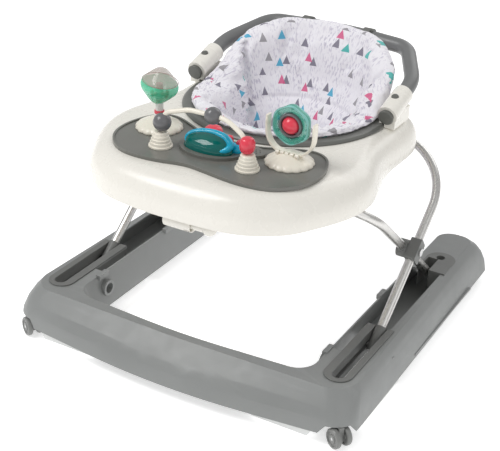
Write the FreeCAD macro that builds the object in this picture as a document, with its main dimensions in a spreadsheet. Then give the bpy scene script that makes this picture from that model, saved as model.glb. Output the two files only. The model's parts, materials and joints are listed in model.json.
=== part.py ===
import FreeCAD, Part
import math
import os
import Sketcher

# Baby walker: a U-shaped wheeled base, two crossing U-shaped tubes that lift and
# lower a play tray, a round seat with a fabric sling, and a removable push handle.
# Frame: +Z up, the child faces -Y, X is across; origin at the centre of the
# footprint on the floor. Millimetres.

Vector = FreeCAD.Vector
Rotation = FreeCAD.Rotation
Placement = FreeCAD.Placement

UP = Vector(0, 0, 1)
ACROSS = Vector(1, 0, 0)
REARWARD = Vector(0, 1, 0)
SIDES = (("left", -1), ("right", 1))

DRIVING_DIMENSIONS = [
    # base shell, lower edge then upper edge
    ("base_half_width", 328.0, "base, half width at the lower edge"),
    ("base_half_width_top", 309.0, "base, half width at the upper edge"),
    ("base_rear_half_width", 320.0, "base, half width of the rear end at the lower edge"),
    ("base_rear_half_width_top", 291.0, "base, half width of the rear end at the upper edge"),
    ("base_front", 351.5, "base, reach of the bowed front, lower edge"),
    ("base_front_top", 291.0, "base, reach of the bowed front, upper edge"),
    ("base_corner", 313.0, "base, reach of the front corners, lower edge"),
    ("base_corner_top", 284.0, "base, reach of the front corners, upper edge"),
    ("base_rear", 345.0, "base, reach of the rear ends, lower edge"),
    ("base_rear_top", 318.0, "base, reach of the rear ends, upper edge"),
    ("base_inner_half", 213.0, "base, half width of the open middle, lower edge"),
    ("base_inner_half_top", 227.0, "base, half width of the open middle, upper edge"),
    ("base_inner_front", 247.0, "base, front of the open middle at its corners, lower edge"),
    ("base_inner_front_top", 262.0, "base, front of the open middle at its corners, upper edge"),
    ("base_inner_mid", 258.0, "base, front of the open middle on the centre line, lower edge"),
    ("base_inner_mid_top", 277.0, "base, front of the open middle on the centre line, upper edge"),
    ("base_bottom", 22.0, "height of the base's lower edge"),
    ("base_top", 85.0, "height of the base's top"),
    ("base_wall", 3.0, "wall of the base shell"),
    ("channel_inner", 230.0, "leg channel, inner side"),
    ("channel_outer", 288.0, "leg channel, outer side"),
    ("channel_front", 177.0, "leg channel, reach forward"),
    ("channel_rear", 151.0, "leg channel, reach rearward"),
    # lifting frames
    ("tube_radius", 8.0, "outer radius of the steel tubes"),
    ("tube_wall", 1.4, "wall of the steel tubes"),
    ("front_tube_x", 255.0, "half spacing of the front lift tube's legs"),
    ("rear_tube_x", 273.0, "half spacing of the rear lift tube's legs"),
    ("pivot_y", 180.0, "rear pivot on the base, rearward"),
    ("pivot_z", 66.0, "height of the rear pivot and of the sliding foot"),
    ("arm_lower", 184.0, "tube length from the base pivot to the crossing"),
    ("arm_upper", 210.0, "tube length from the crossing to the tray bar"),
    ("arm_angle", 39.0, "slope of the tubes in degrees"),
    ("front_bend", 71.0, "bend radius of the front lift tube"),
    ("rear_bend", 125.0, "bend radius of the rear lift tube"),
    ("pin_radius", 4.0, "radius of the hinge and slider pins"),
    ("running_gap", 0.05, "radial clearance of a running fit"),
    ("hub_radius", 16.0, "radius of the crossing hubs"),
    # wheels
    ("caster_x", 300.0, "half spacing of the caster stems"),
    ("caster_y", 298.0, "reach forward of the caster stems"),
    ("caster_trail", 9.0, "offset of the caster axle from its stem"),
    ("caster_turn", 60.0, "swivel of the casters in degrees"),
    ("wheel_radius", 17.0, "radius of all wheels"),
    ("wheel_width", 9.0, "width of one wheel"),
    ("wheel_spacing", 20.0, "spacing of a twin wheel's halves"),
    ("axle_radius", 2.5, "radius of the wheel axles"),
    ("stem_radius", 2.8, "radius of the caster stems"),
    ("bush_radius", 4.6, "radius of the caster bushes"),
    ("roller_x", 275.0, "half spacing of the rear rollers"),
    ("roller_y", 285.0, "rear rollers, rearward"),
    # tray
    ("tray_bottom", 320.0, "height of the tray's skirt edge"),
    ("tray_top", 379.5, "height of the tray's top face"),
    ("tray_wall", 3.0, "wall of the tray"),
    ("seat_y", 61.0, "centre of the seat ring, rearward"),
    ("seat_hole", 172.0, "radius of the seat hole in the tray"),
    ("ring_outer", 184.0, "outer radius of the seat ring"),
    ("ring_inner", 158.0, "inner radius of the seat ring"),
    ("ring_top", 386.5, "height of the seat ring's crown"),
    ("panel_height", 4.0, "thickness of the toy panel"),
    ("panel_rim", 2.0, "height of the toy panel's rim"),
    ("adjuster_z", 298.0, "height of the height adjuster's grip"),
    # push handle
    ("handle_x", 189.0, "half spacing of the handle sockets"),
    ("handle_y", 60.0, "front face of the release buttons, rearward"),
    ("handle_z", 402.0, "height of the release buttons"),
    ("handle_slope", 16.5, "slope of the push handle in degrees"),
    ("handle_radius", 13.5, "radius of the handle tube"),
    ("socket_radius", 17.5, "radius of the handle sockets"),
    ("button_radius", 12.0, "radius of the release buttons' stems"),
    ("snap_radius", 6.2, "radius of the snap buttons"),
    ("socket_length", 72.0, "length of the handle sockets"),
    # toys
    ("toy_base_radius", 40.0, "radius of the rattle's and the spinner's base"),
    ("rattle_x", 124.0, "rattle, leftward"),
    ("rattle_y", 157.0, "rattle, forward"),
    ("rattle_z", 457.0, "height of the rattle head's centre"),
    ("rattle_radius", 32.0, "radius of the rattle head"),
    ("spinner_x", 123.0, "spinner, rightward"),
    ("spinner_y", 161.0, "spinner, forward"),
    ("spinner_z", 448.0, "height of the spinner's axle"),
    ("spinner_radius", 34.0, "outer radius of the spinner ring"),
    ("cone_x", 80.0, "half spacing of the ribbed cones"),
    ("cone_y", 220.0, "ribbed cones, forward"),
    ("cone_height", 26.0, "height of the ribbed cones"),
    ("bead_radius", 14.0, "radius of the bead strung on the arch"),
    ("wire_radius", 4.0, "radius of the bead arch"),
    ("music_x", 5.0, "music toy, leftward"),
    ("music_y", 185.0, "music toy, forward"),
]

doc = FreeCAD.newDocument("baby_walker")


# ---------------------------------------------------------------- dimensions

def write_sheet():
    """Puts the driving dimensions in a spreadsheet, one alias to a row."""
    sheet = doc.addObject("Spreadsheet::Sheet", "Dimensions")
    for row, (alias, value, note) in enumerate(DRIVING_DIMENSIONS, start=1):
        sheet.set("A%d" % row, note)
        sheet.set("B%d" % row, str(value))
        sheet.setAlias("B%d" % row, alias)
    doc.recompute()
    return sheet


class Size:
    """A number together with the spreadsheet expression that it comes from."""

    def __init__(self, value, text):
        self.value = value
        self.text = text

    def __add__(self, other):
        return Size(self.value + number(other), "(%s + %s)" % (self.text, text(other)))

    def __sub__(self, other):
        return Size(self.value - number(other), "(%s - %s)" % (self.text, text(other)))

    def __mul__(self, other):
        return Size(self.value * number(other), "(%s * %s)" % (self.text, text(other)))

    __rmul__ = __mul__

    def __float__(self):
        return self.value


def number(size):
    return float(size)


def text(size):
    return size.text if isinstance(size, Size) else "%.6g" % size


SHEET = write_sheet()


def size(alias):
    """The sheet's value of one alias, bound to its cell."""
    return Size(float(SHEET.get(alias)), "Dimensions." + alias)


def value(alias):
    return float(SHEET.get(alias))


# ------------------------------------------------------------ part primitives

subparts = []


def keep(item, label):
    """Marks an object as a sub-part that is written out under this label."""
    item.Label = label
    subparts.append(item)
    return item


def bind(item, **sizes):
    for name, length in sizes.items():
        item.setExpression(name, text(length))


def place(item, base, axis=UP):
    """Stands the object's own +Z along axis, with its origin at base."""
    position = Vector(*[number(part) for part in base])
    item.Placement = Placement(position, Rotation(UP, axis))
    return item


def box(name, lengths, corner):
    item = doc.addObject("Part::Box", name)
    bind(item, Length=lengths[0], Width=lengths[1], Height=lengths[2])
    return place(item, corner)


def box_between(name, low, high):
    """A box from its low corner to its high corner; each may be in either order."""
    lows = [min(number(a), number(b)) for a, b in zip(low, high)]
    highs = [max(number(a), number(b)) for a, b in zip(low, high)]
    return box(name, [b - a for a, b in zip(lows, highs)], lows)


def cylinder(name, radius, height, base, axis=UP):
    item = doc.addObject("Part::Cylinder", name)
    bind(item, Radius=radius, Height=height)
    return place(item, base, axis)


def cone(name, radius1, radius2, height, base, axis=UP):
    item = doc.addObject("Part::Cone", name)
    bind(item, Radius1=radius1, Radius2=radius2, Height=height)
    return place(item, base, axis)


def sphere(name, radius, centre, axis=UP):
    """A ball whose poles lie on axis."""
    item = doc.addObject("Part::Sphere", name)
    bind(item, Radius=radius)
    return place(item, centre, axis)


def torus(name, radius1, radius2, centre, axis=UP):
    item = doc.addObject("Part::Torus", name)
    bind(item, Radius1=radius1, Radius2=radius2)
    return place(item, centre, axis)


def fuse(name, *items):
    item = doc.addObject("Part::MultiFuse", name)
    item.Shapes = list(items)
    return item


def cut(name, base, *tools):
    item = doc.addObject("Part::Cut", name)
    item.Base = base
    item.Tool = tools[0] if len(tools) == 1 else fuse(name + "_tools", *tools)
    return item


def group(name, items):
    """Separate like pieces that share one sub-part."""
    item = doc.addObject("Part::Compound", name)
    item.Links = list(items)
    return item


def free_shape(label, shape):
    item = doc.addObject("Part::Feature", label)
    item.Shape = shape
    item.Placement = Placement()
    return keep(item, label)


def origin_plane(body, role):
    for feature in body.Origin.OriginFeatures:
        if feature.Role == role:
            return feature
    raise ValueError("no plane " + role)


def bound_sketch(body, name, role, points):
    """A closed polygon; each coordinate above zero is a driving constraint."""
    sketch = body.newObject("Sketcher::SketchObject", name)
    sketch.AttachmentSupport = (origin_plane(body, role), [""])
    sketch.MapMode = "FlatFace"
    corners = [Vector(number(x), number(y), 0) for x, y in points]
    count = len(corners)
    for index in range(count):
        line = Part.LineSegment(corners[index], corners[(index + 1) % count])
        sketch.addGeometry(line, False)
    for index in range(count):
        sketch.addConstraint(Sketcher.Constraint("Coincident", index, 2, (index + 1) % count, 1))
    for index, (x, y) in enumerate(points):
        for kind, length in (("DistanceX", x), ("DistanceY", y)):
            if isinstance(length, Size) and number(length) > 0.01:
                constraint = Sketcher.Constraint(kind, -1, 1, index, 1, number(length))
                row = sketch.addConstraint(constraint)
                sketch.setExpression("Constraints[%d]" % row, length.text)
    return sketch


def revolved(name, profile, base=(0, 0, 0), axis=UP):
    """A body of revolution; profile points are (radius, height along the axis)."""
    body = doc.addObject("PartDesign::Body", name)
    sketch = bound_sketch(body, name + "_profile", "XZ_Plane", profile)
    turn = body.newObject("PartDesign::Revolution", name + "_turn")
    turn.Profile = sketch
    turn.ReferenceAxis = (sketch, ["V_Axis"])
    turn.Angle = 360.0
    body.Tip = turn
    return place(body, base, axis)


def extruded(name, outline, height, base=(0, 0, 0), axis=UP):
    """A padded body from a polygon of (x, y) points."""
    body = doc.addObject("PartDesign::Body", name)
    sketch = bound_sketch(body, name + "_outline", "XY_Plane", outline)
    pad = body.newObject("PartDesign::Pad", name + "_pad")
    pad.Profile = sketch
    pad.setExpression("Length", text(height))
    body.Tip = pad
    return place(body, base, axis)


# ------------------------------------------------------------- shape builders

def rounded_path(corners, closed=False):
    """Edges through corner points (point, radius), every corner a tangent arc."""
    count = len(corners)
    arcs = []
    for index, (point, radius) in enumerate(corners):
        if not closed and index in (0, count - 1):
            arcs.append((point, None, point))
            continue
        before = corners[index - 1][0].sub(point).normalize()
        after = corners[(index + 1) % count][0].sub(point).normalize()
        half = before.getAngle(after) / 2.0
        reach = radius / math.tan(half)
        inward = before.add(after).normalize()
        centre = point.add(inward * (radius / math.sin(half)))
        middle = centre.sub(inward * radius)
        arcs.append((point.add(before * reach), middle, point.add(after * reach)))
    edges = []
    for index, (start, middle, end) in enumerate(arcs):
        if middle is not None:
            edges.append(Part.Arc(start, middle, end).toShape())
        if index < count - 1 or closed:
            following = arcs[(index + 1) % count][0]
            edges.append(Part.LineSegment(end, following).toShape())
    return Part.Wire(edges)


def mirrored(points):
    """Right-hand points (x > 0) followed by their mirror images, as one closed run."""
    return points + [(-x, y, r) for x, y, r in reversed(points) if abs(x) > 1e-6]


def flat_loop(points, height):
    """A closed rounded outline at one height; points are (x, y, radius)."""
    return rounded_path([(Vector(x, y, height), r) for x, y, r in points], closed=True)


def smooth_loop(points, height, inset=0.0):
    """A closed smooth curve through (x, y) points, moved inward by inset."""
    count = len(points)
    moved = []
    for index, (x, y) in enumerate(points):
        ahead = points[(index + 1) % count]
        behind = points[index - 1]
        along = Vector(ahead[0] - behind[0], ahead[1] - behind[1], 0).normalize()
        moved.append(Vector(x, y, height).add(Vector(-along.y, along.x, 0) * inset))
    curve = Part.BSplineCurve()
    curve.interpolate(moved, PeriodicFlag=True)
    return Part.Wire([curve.toShape()])


def swept_rod(path, radius):
    """A solid round rod along a wire whose corners are tangent arcs."""
    start = path.Edges[0].valueAt(path.Edges[0].FirstParameter)
    heading = path.Edges[0].tangentAt(path.Edges[0].FirstParameter)
    section = Part.Wire([Part.makeCircle(radius, start, heading)])
    return path.makePipeShell([section], True, True)


def swept_tube(path, radius, wall):
    """A hollow round tube along a wire whose corners are tangent arcs."""
    return swept_rod(path, radius).cut(swept_rod(path, radius - wall))


def solid_box(low, high):
    """A plain box shape between two corners given in any order."""
    lows = [min(a, b) for a, b in zip(low, high)]
    highs = [max(a, b) for a, b in zip(low, high)]
    lengths = [b - a for a, b in zip(lows, highs)]
    return Part.makeBox(lengths[0], lengths[1], lengths[2], Vector(*lows))


def blend(low, high, share):
    return low + (high - low) * share


# ------------------------------------------------------------------ the base

# Height shares of the shell's sections, with how far the sides and the front
# have closed in at each of them.
SHELL_SECTIONS = ((0.0, 0.0, 0.0), (0.35, 0.12, 0.10), (0.62, 0.33, 0.36),
                  (0.84, 0.62, 0.74), (1.0, 1.0, 1.0))
FRONT_CORNER_RADIUS = 45.0
INNER_CORNER_RADIUS = 36.0
REAR_OUTER_RADIUS = 24.0
REAR_INNER_RADIUS = (14.0, 30.0)
BOW_RADIUS = 1300.0


def shell_outline(share, side, front, wall, height):
    """The base's U outline at one height share, moved inward by wall."""
    def between(alias, part):
        return blend(value(alias), value(alias + "_top"), part)

    half = between("base_half_width", side) - wall
    rear_half = between("base_rear_half_width", side) - wall
    rear = between("base_rear", side) - wall
    inner = between("base_inner_half", share) + wall
    rear_inner = blend(REAR_INNER_RADIUS[0], REAR_INNER_RADIUS[1], share) - wall
    right = [
        (0.0, -between("base_front", front) + wall, BOW_RADIUS),
        (half, -between("base_corner", front) + wall, FRONT_CORNER_RADIUS - wall),
        (rear_half, rear, REAR_OUTER_RADIUS - wall),
        (inner, rear, rear_inner),
        (inner, -between("base_inner_front", share) - wall, INNER_CORNER_RADIUS + wall),
        (0.0, -between("base_inner_mid", share) - wall, BOW_RADIUS),
    ]
    return flat_loop(mirrored(right), height)


def shell_block(wall, low, high):
    """The filled base, or its inside when wall is above zero."""
    wires = []
    for share, side, front in SHELL_SECTIONS:
        wires.append(shell_outline(share, side, front, wall, blend(low, high, share)))
    return Part.makeLoft(wires, True, True)


def make_base_shell():
    bottom = value("base_bottom")
    top = value("base_top")
    wall = value("base_wall")
    shell = shell_block(0.0, bottom, top).cut(shell_block(wall, bottom - 1.0, top - wall))
    inner = value("channel_inner")
    outer = value("channel_outer")
    front = -value("channel_front")
    rear = value("channel_rear")
    cover = top + 5.0
    under = top - wall - 6.0
    for name, side in SIDES:
        # channel: narrow beside the slot guide, full width behind it
        shell = shell.cut(solid_box((side * inner, front, under), (side * GUIDE_INNER, GUIDE_REAR, cover)))
        shell = shell.cut(solid_box((side * inner, GUIDE_REAR, under), (side * outer, rear, cover)))
        # seats of the slot guide and of the rear bracket
        shell = shell.cut(guide_body(side, under, cover, 0.0))
        shell = shell.cut(bracket_body(side, under, cover, 0.0))
        # rimmed hole in the inner wall
        rim_start = Vector(side * 214.0, WALL_HOLE_Y, WALL_HOLE_Z)
        rim = Part.makeCylinder(WALL_HOLE_RIM, 12.0, rim_start, Vector(side, 0, 0))
        hole_start = Vector(side * 205.0, WALL_HOLE_Y, WALL_HOLE_Z)
        hole = Part.makeCylinder(WALL_HOLE_RIM - 5.0, 30.0, hole_start, Vector(side, 0, 0))
        shell = shell.fuse(rim).cut(hole)
        # floor of the channel, carrying the rear pivot
        floor = solid_box((side * 215.0, -40.0, 27.0), (side * 325.0, 230.0, 30.0))
        shell = shell.fuse(floor)
        # bosses for the pads' screws
        for across, along, boss_top in PAD_SCREWS:
            boss_foot = Vector(side * across, along, bottom)
            boss = Part.makeCylinder(6.0, boss_top - bottom, boss_foot, UP)
            shell = shell.fuse(boss).cut(Part.makeCylinder(2.0, 12.0, boss_foot, UP))
        # solid corner that holds the caster's bush, and the arch that the wheel turns in
        stem = Vector(side * value("caster_x"), -value("caster_y"), 0)
        corner = Part.makeCylinder(14.0, 40.0, stem.add(UP * BUSH_LOW), UP)
        shell = shell.fuse(corner.common(shell_block(1.0, bottom, top)))
        bush_seat = Part.makeCylinder(value("bush_radius"), BUSH_HEIGHT, stem.add(UP * BUSH_LOW), UP)
        shell = shell.cut(bush_seat)
        arch = Part.makeCone(ARCH_RADIUS[0], ARCH_RADIUS[1], BUSH_LOW - ARCH_LOW, stem.add(UP * ARCH_LOW), UP)
        shell = shell.cut(arch)
    # stiffening steps along the inner edge of each leg
    for name, side in SIDES:
        for low, high in ((-199.0, -172.0), (16.0, 42.0)):
            step = solid_box((side * 221.0, low, top - 6.0), (side * 229.9, high, top + 2.5))
            shell = shell.fuse(step)
    return free_shape("base_shell", shell.removeSplitter())


GUIDE_INNER = 247.0
GUIDE_OUTER = 296.0
GUIDE_FRONT = -265.0
GUIDE_REAR = -77.0
GUIDE_LIP = 3.3
SLOT_FRONT = -255.0
BRACKET_INNER = 241.0
BRACKET_OUTER = 296.0
BRACKET_FRONT = 151.0
BRACKET_REAR = 229.0
LIP_HEIGHT = 2.5
# x, y and boss height of the screws that hold the stopper pads
PAD_SCREWS = ((175.0, -300.0, 64.0), (235.0, -300.0, 64.0), (311.0, -225.0, 68.0), (311.0, -125.0, 68.0))
# rimmed hole in the inner wall of each leg
WALL_HOLE_Y = -180.0
WALL_HOLE_Z = 57.0
WALL_HOLE_RIM = 15.0
PIVOT_PIN_X = 266.0
PIVOT_PIN_LENGTH = 44.0
BUSH_LOW = 36.6
BUSH_HEIGHT = 8.4
# caster arch: its radius at the bottom and the top, and the height of its bottom
ARCH_RADIUS = (32.5, 21.0)
ARCH_LOW = 20.0


def lobe(side, inner, outer, low, high, bottom, top, round_front):
    """A plate with one half-round end, between two heights."""
    radius = (outer - inner) / 2.0
    centre_y = low + radius if round_front else high - radius
    if round_front:
        straight = solid_box((side * inner, centre_y, bottom), (side * outer, high, top))
    else:
        straight = solid_box((side * inner, low, bottom), (side * outer, centre_y, top))
    end = Part.makeCylinder(radius, top - bottom, Vector(side * (inner + radius), centre_y, bottom))
    return straight.fuse(end).removeSplitter()


def guide_body(side, bottom, top, growth):
    """The part of the slot guide that drops into the base."""
    return lobe(side, GUIDE_INNER + GUIDE_LIP - growth, GUIDE_OUTER - GUIDE_LIP + growth,
                GUIDE_FRONT + GUIDE_LIP - growth, GUIDE_REAR, bottom, top, True)


def bracket_body(side, bottom, top, growth):
    """The part of the rear bracket that drops into the base."""
    return lobe(side, BRACKET_INNER + GUIDE_LIP - growth, BRACKET_OUTER - GUIDE_LIP + growth,
                BRACKET_FRONT, BRACKET_REAR - GUIDE_LIP + growth, bottom, top, False)


def make_slot_guide(name, side):
    """U-shaped insert in which the rear lift tube's foot slides."""
    top = value("base_top")
    tube_x = value("rear_tube_x")
    slot = value("tube_radius") + 3.0
    pin = value("pin_radius") + 1.0
    flange = lobe(side, GUIDE_INNER, GUIDE_OUTER, GUIDE_FRONT, GUIDE_REAR, top, top + LIP_HEIGHT, True)
    guide = flange.fuse(guide_body(side, 48.0, top, 0.0))
    guide = guide.cut(lobe(side, tube_x - slot, tube_x + slot, SLOT_FRONT, GUIDE_REAR + 5.0,
                           40.0, top + 5.0, True))
    # grooves that carry the ends of the slider pin
    groove = solid_box((side * (tube_x - 15.5), SLOT_FRONT + 8.0, value("pivot_z") - pin),
                       (side * (tube_x + 15.5), GUIDE_REAR - 8.0, value("pivot_z") + pin))
    guide = guide.cut(groove)
    free_shape("slot_guide_" + name, guide.removeSplitter())


def make_rear_bracket(name, side):
    """Insert that carries the front lift tube's pivot."""
    top = value("base_top")
    tube_x = value("front_tube_x")
    slot = value("tube_radius") + 1.6
    flange = lobe(side, BRACKET_INNER, BRACKET_OUTER, BRACKET_FRONT, BRACKET_REAR,
                  top, top + LIP_HEIGHT, False)
    bracket = flange.fuse(bracket_body(side, 50.0, top, 0.0))
    reach = value("pivot_y") + 19.0
    bracket = bracket.cut(solid_box((side * (tube_x - slot), BRACKET_FRONT - 1.0, 45.0),
                                    (side * (tube_x + slot), reach, top + 5.0)))
    hole = Part.makeCylinder(value("pin_radius"), 70.0,
                             Vector(side * 236.0, value("pivot_y"), value("pivot_z")), Vector(side, 0, 0))
    recess = Part.makeCylinder(8.0, 30.0, Vector(side * 266.0, 208.0, top - 22.0))
    bracket = bracket.cut(hole).cut(recess)
    free_shape("rear_bracket_" + name, bracket.removeSplitter())


def make_base_fittings():
    for name, side in SIDES:
        make_slot_guide(name, side)
        make_rear_bracket(name, side)
    pins = []
    sockets = []
    axles = []
    brackets = []
    for name, side in SIDES:
        pins.append(cylinder("rear_pivot_pin_" + name, size("pin_radius"), PIVOT_PIN_LENGTH,
                             (side * PIVOT_PIN_X - PIVOT_PIN_LENGTH / 2.0, size("pivot_y"), size("pivot_z")),
                             ACROSS))
        outside = cylinder("bush_body_" + name, size("bush_radius"), BUSH_HEIGHT,
                           (side * value("caster_x"), -value("caster_y"), BUSH_LOW))
        bore = cylinder("bush_bore_" + name, size("stem_radius") + size("running_gap"), BUSH_HEIGHT,
                        (side * value("caster_x"), -value("caster_y"), BUSH_LOW))
        sockets.append(cut("bush_" + name, outside, bore))
        axles.append(cylinder("rear_axle_" + name, size("axle_radius"), 30.0,
                              (side * value("roller_x") - 15.0, size("roller_y"), size("wheel_radius")),
                              ACROSS))
        under = value("base_top") - value("base_wall")
        plate = box_between("rear_axle_plate_" + name,
                            (side * value("roller_x") - 3.5, value("roller_y") - 8.0, 9.0),
                            (side * value("roller_x") + 3.5, value("roller_y") + 8.0, under))
        axle_hole = cylinder("rear_axle_hole_" + name, size("axle_radius"), 20.0,
                             (side * value("roller_x") - 10.0, size("roller_y"), size("wheel_radius")),
                             ACROSS)
        brackets.append(cut("rear_axle_bracket_" + name, plate, axle_hole))
    keep(group("pivot_pins", pins), "rear_pivot_pins")
    keep(group("bushes", sockets), "caster_bushes")
    keep(group("axles", axles), "rear_axles")
    keep(group("axle_brackets", brackets), "rear_axle_brackets")


def make_stopper_pads():
    """Rubber strips under the base that grip a stair edge."""
    pads = []
    screws = []
    bottom = value("base_bottom")
    for name, side in SIDES:
        front = extruded("front_pad_" + name, ((0, 0), (size("base_half_width") * 0.36, 0),
                                               (size("base_half_width") * 0.33, 16.0), (9.0, 16.0)), 30.0)
        front.Placement = Placement(Vector(side * 208.0 - 59.0, -316.0, bottom), Rotation(ACROSS, -90))
        leg = box_between("leg_pad_" + name, (side * 306.0, -248.0, 9.0), (side * 322.0, -100.0, bottom))
        pads.append(front)
        pads.append(leg)
        for across, along, boss_top in PAD_SCREWS:
            screws.append(cylinder("pad_screw_%s_%d_%d" % (name, int(across), int(-along)), 1.9, 11.0,
                                   (side * across, along, bottom + 0.5)))
    keep(group("pads", pads), "stopper_pads")
    keep(group("pad_screws", screws), "base_screws")


# ---------------------------------------------------------------- the wheels

def caster_frame(side):
    """Stem foot, axle centre and axle direction of one front caster."""
    turn = math.radians(value("caster_turn"))
    along_axle = Vector(math.cos(turn), math.sin(turn), 0)
    forward = Vector(math.sin(turn), -math.cos(turn), 0)
    stem = Vector(side * value("caster_x"), -value("caster_y"), value("wheel_radius"))
    return stem, stem.add(forward * value("caster_trail")), along_axle


def wheel(name, centre, along):
    """One small wheel with a rounded tread, a dished face and a hub."""
    radius = size("wheel_radius")
    width = size("wheel_width")
    bore = size("axle_radius") + size("running_gap")
    profile = [
        (bore, 0), (radius * 0.40, 0), (radius * 0.46, 1.6), (radius * 0.70, 1.6), (radius * 0.76, 0),
        (radius * 0.92, 0.2), (radius, 2.0), (radius, width - 2.0), (radius * 0.92, width - 0.2),
        (radius * 0.76, width), (radius * 0.70, width - 1.6), (radius * 0.46, width - 1.6),
        (radius * 0.40, width), (bore, width),
    ]
    start = centre.sub(along * (value("wheel_width") / 2.0))
    return revolved(name, profile, (start.x, start.y, start.z), along)


def twin_wheels(label, centre, along):
    half = value("wheel_spacing") / 2.0
    halves = []
    for tag, sign in (("near", -1), ("far", 1)):
        halves.append(wheel(label + "_" + tag, centre.add(along * (sign * half)), along))
    keep(group(label + "_pair", halves), label)


def make_casters():
    for name, side in SIDES:
        stem, centre, along = caster_frame(side)
        stem_base = (stem.x, stem.y, 28.0)
        pin = cylinder("stem_" + name, size("stem_radius"), BUSH_LOW + BUSH_HEIGHT - 28.2, stem_base)
        plate = cylinder("stem_plate_" + name, size("stem_radius") * 2.8, 1.8, (stem.x, stem.y, 34.5))
        cheek = box("cheek_" + name, (9.4, 20.0, 28.0), (0, 0, 0))
        middle = stem.add(centre).multiply(0.5)
        turn = Rotation(UP, value("caster_turn"))
        cheek.Placement = Placement(
            Vector(middle.x, middle.y, 8.0).sub(turn.multVec(Vector(4.7, 10.0, 0))), turn)
        bore_start = centre.sub(along * 8.0)
        bore = cylinder("fork_bore_" + name, size("axle_radius"), 16.0,
                        (bore_start.x, bore_start.y, bore_start.z), along)
        keep(cut("fork_" + name, fuse("fork_solid_" + name, pin, plate, cheek), bore), "caster_fork_" + name)
        axle_start = centre.sub(along * 14.5)
        keep(cylinder("axle_" + name, size("axle_radius"), 29.0,
                      (axle_start.x, axle_start.y, axle_start.z), along), "caster_axle_" + name)
        twin_wheels("caster_wheels_" + name, centre, along)
        twin_wheels("rear_rollers_" + name,
                    Vector(side * value("roller_x"), value("roller_y"), value("wheel_radius")), ACROSS)


# --------------------------------------------------------- the lifting frames

FOOT_OVERHANG = 9.0


def slope(sign):
    """Unit vector up a tube: sign is -1 for the front lift tube, which rises forward."""
    angle = math.radians(value("arm_angle"))
    return Vector(0, sign * math.cos(angle), math.sin(angle))


def crossing():
    pivot = Vector(0, value("pivot_y"), value("pivot_z"))
    return pivot.add(slope(-1) * value("arm_lower"))


def tray_bar(sign):
    return crossing().add(slope(sign) * value("arm_upper"))


def lift_path(sign, half_spacing, bend):
    """Centre line of one U-shaped tube: up one leg, across under the tray, down the other."""
    foot = crossing().sub(slope(sign) * (value("arm_lower") + FOOT_OVERHANG))
    bar = tray_bar(sign)
    shift = Vector(half_spacing, 0, 0)
    corners = [
        (foot.sub(shift), 0.0), (bar.sub(shift), bend), (bar.add(shift), bend), (foot.add(shift), 0.0),
    ]
    return rounded_path(corners)


def across_hole(point, side, inner, length, radius):
    return Part.makeCylinder(radius, length, Vector(side * inner, point.y, point.z), Vector(side, 0, 0))


def make_lift_tube(label, sign, half_spacing, bend, foot_gap, cross_gap):
    """One bent steel tube with its cross holes."""
    pin = value("pin_radius")
    tube = swept_tube(lift_path(sign, half_spacing, bend), value("tube_radius"), value("tube_wall"))
    foot = crossing().sub(slope(sign) * value("arm_lower"))
    for name, side in SIDES:
        tube = tube.cut(across_hole(foot, side, half_spacing - 20.0, 40.0, pin + foot_gap))
        tube = tube.cut(across_hole(crossing(), side, half_spacing - 20.0, 40.0, pin + cross_gap))
    free_shape(label, tube)


def collar(point, sign, side, centre_x, radius, low, high, tube):
    """A plastic sleeve round a tube, from low to high along it."""
    start = Vector(side * centre_x, point.y, point.z).add(slope(sign) * low)
    outside = Part.makeCylinder(radius, high - low, start, slope(sign))
    inside = Part.makeCylinder(tube, high - low, start, slope(sign))
    return outside, inside


def make_front_lift():
    """The tube that is hinged on the rear brackets and rises forward."""
    gap = value("running_gap")
    tube = value("tube_radius")
    tube_x = value("front_tube_x")
    make_lift_tube("front_lift_tube", -1, tube_x, value("front_bend"), gap, gap)
    hubs = []
    centre = crossing()
    for name, side in SIDES:
        disc = Part.makeCylinder(value("hub_radius"), 18.6, Vector(side * (tube_x - 9.6), centre.y, centre.z),
                                 Vector(side, 0, 0))
        outside, inside = collar(centre, -1, side, tube_x, tube + 0.8, -24.0, 24.0, tube)
        hub = disc.fuse(outside).cut(inside)
        hubs.append(hub.cut(across_hole(centre, side, tube_x - 12.0, 24.0, value("pin_radius") + gap)))
    free_shape("cross_hubs", Part.makeCompound(hubs))


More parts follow.
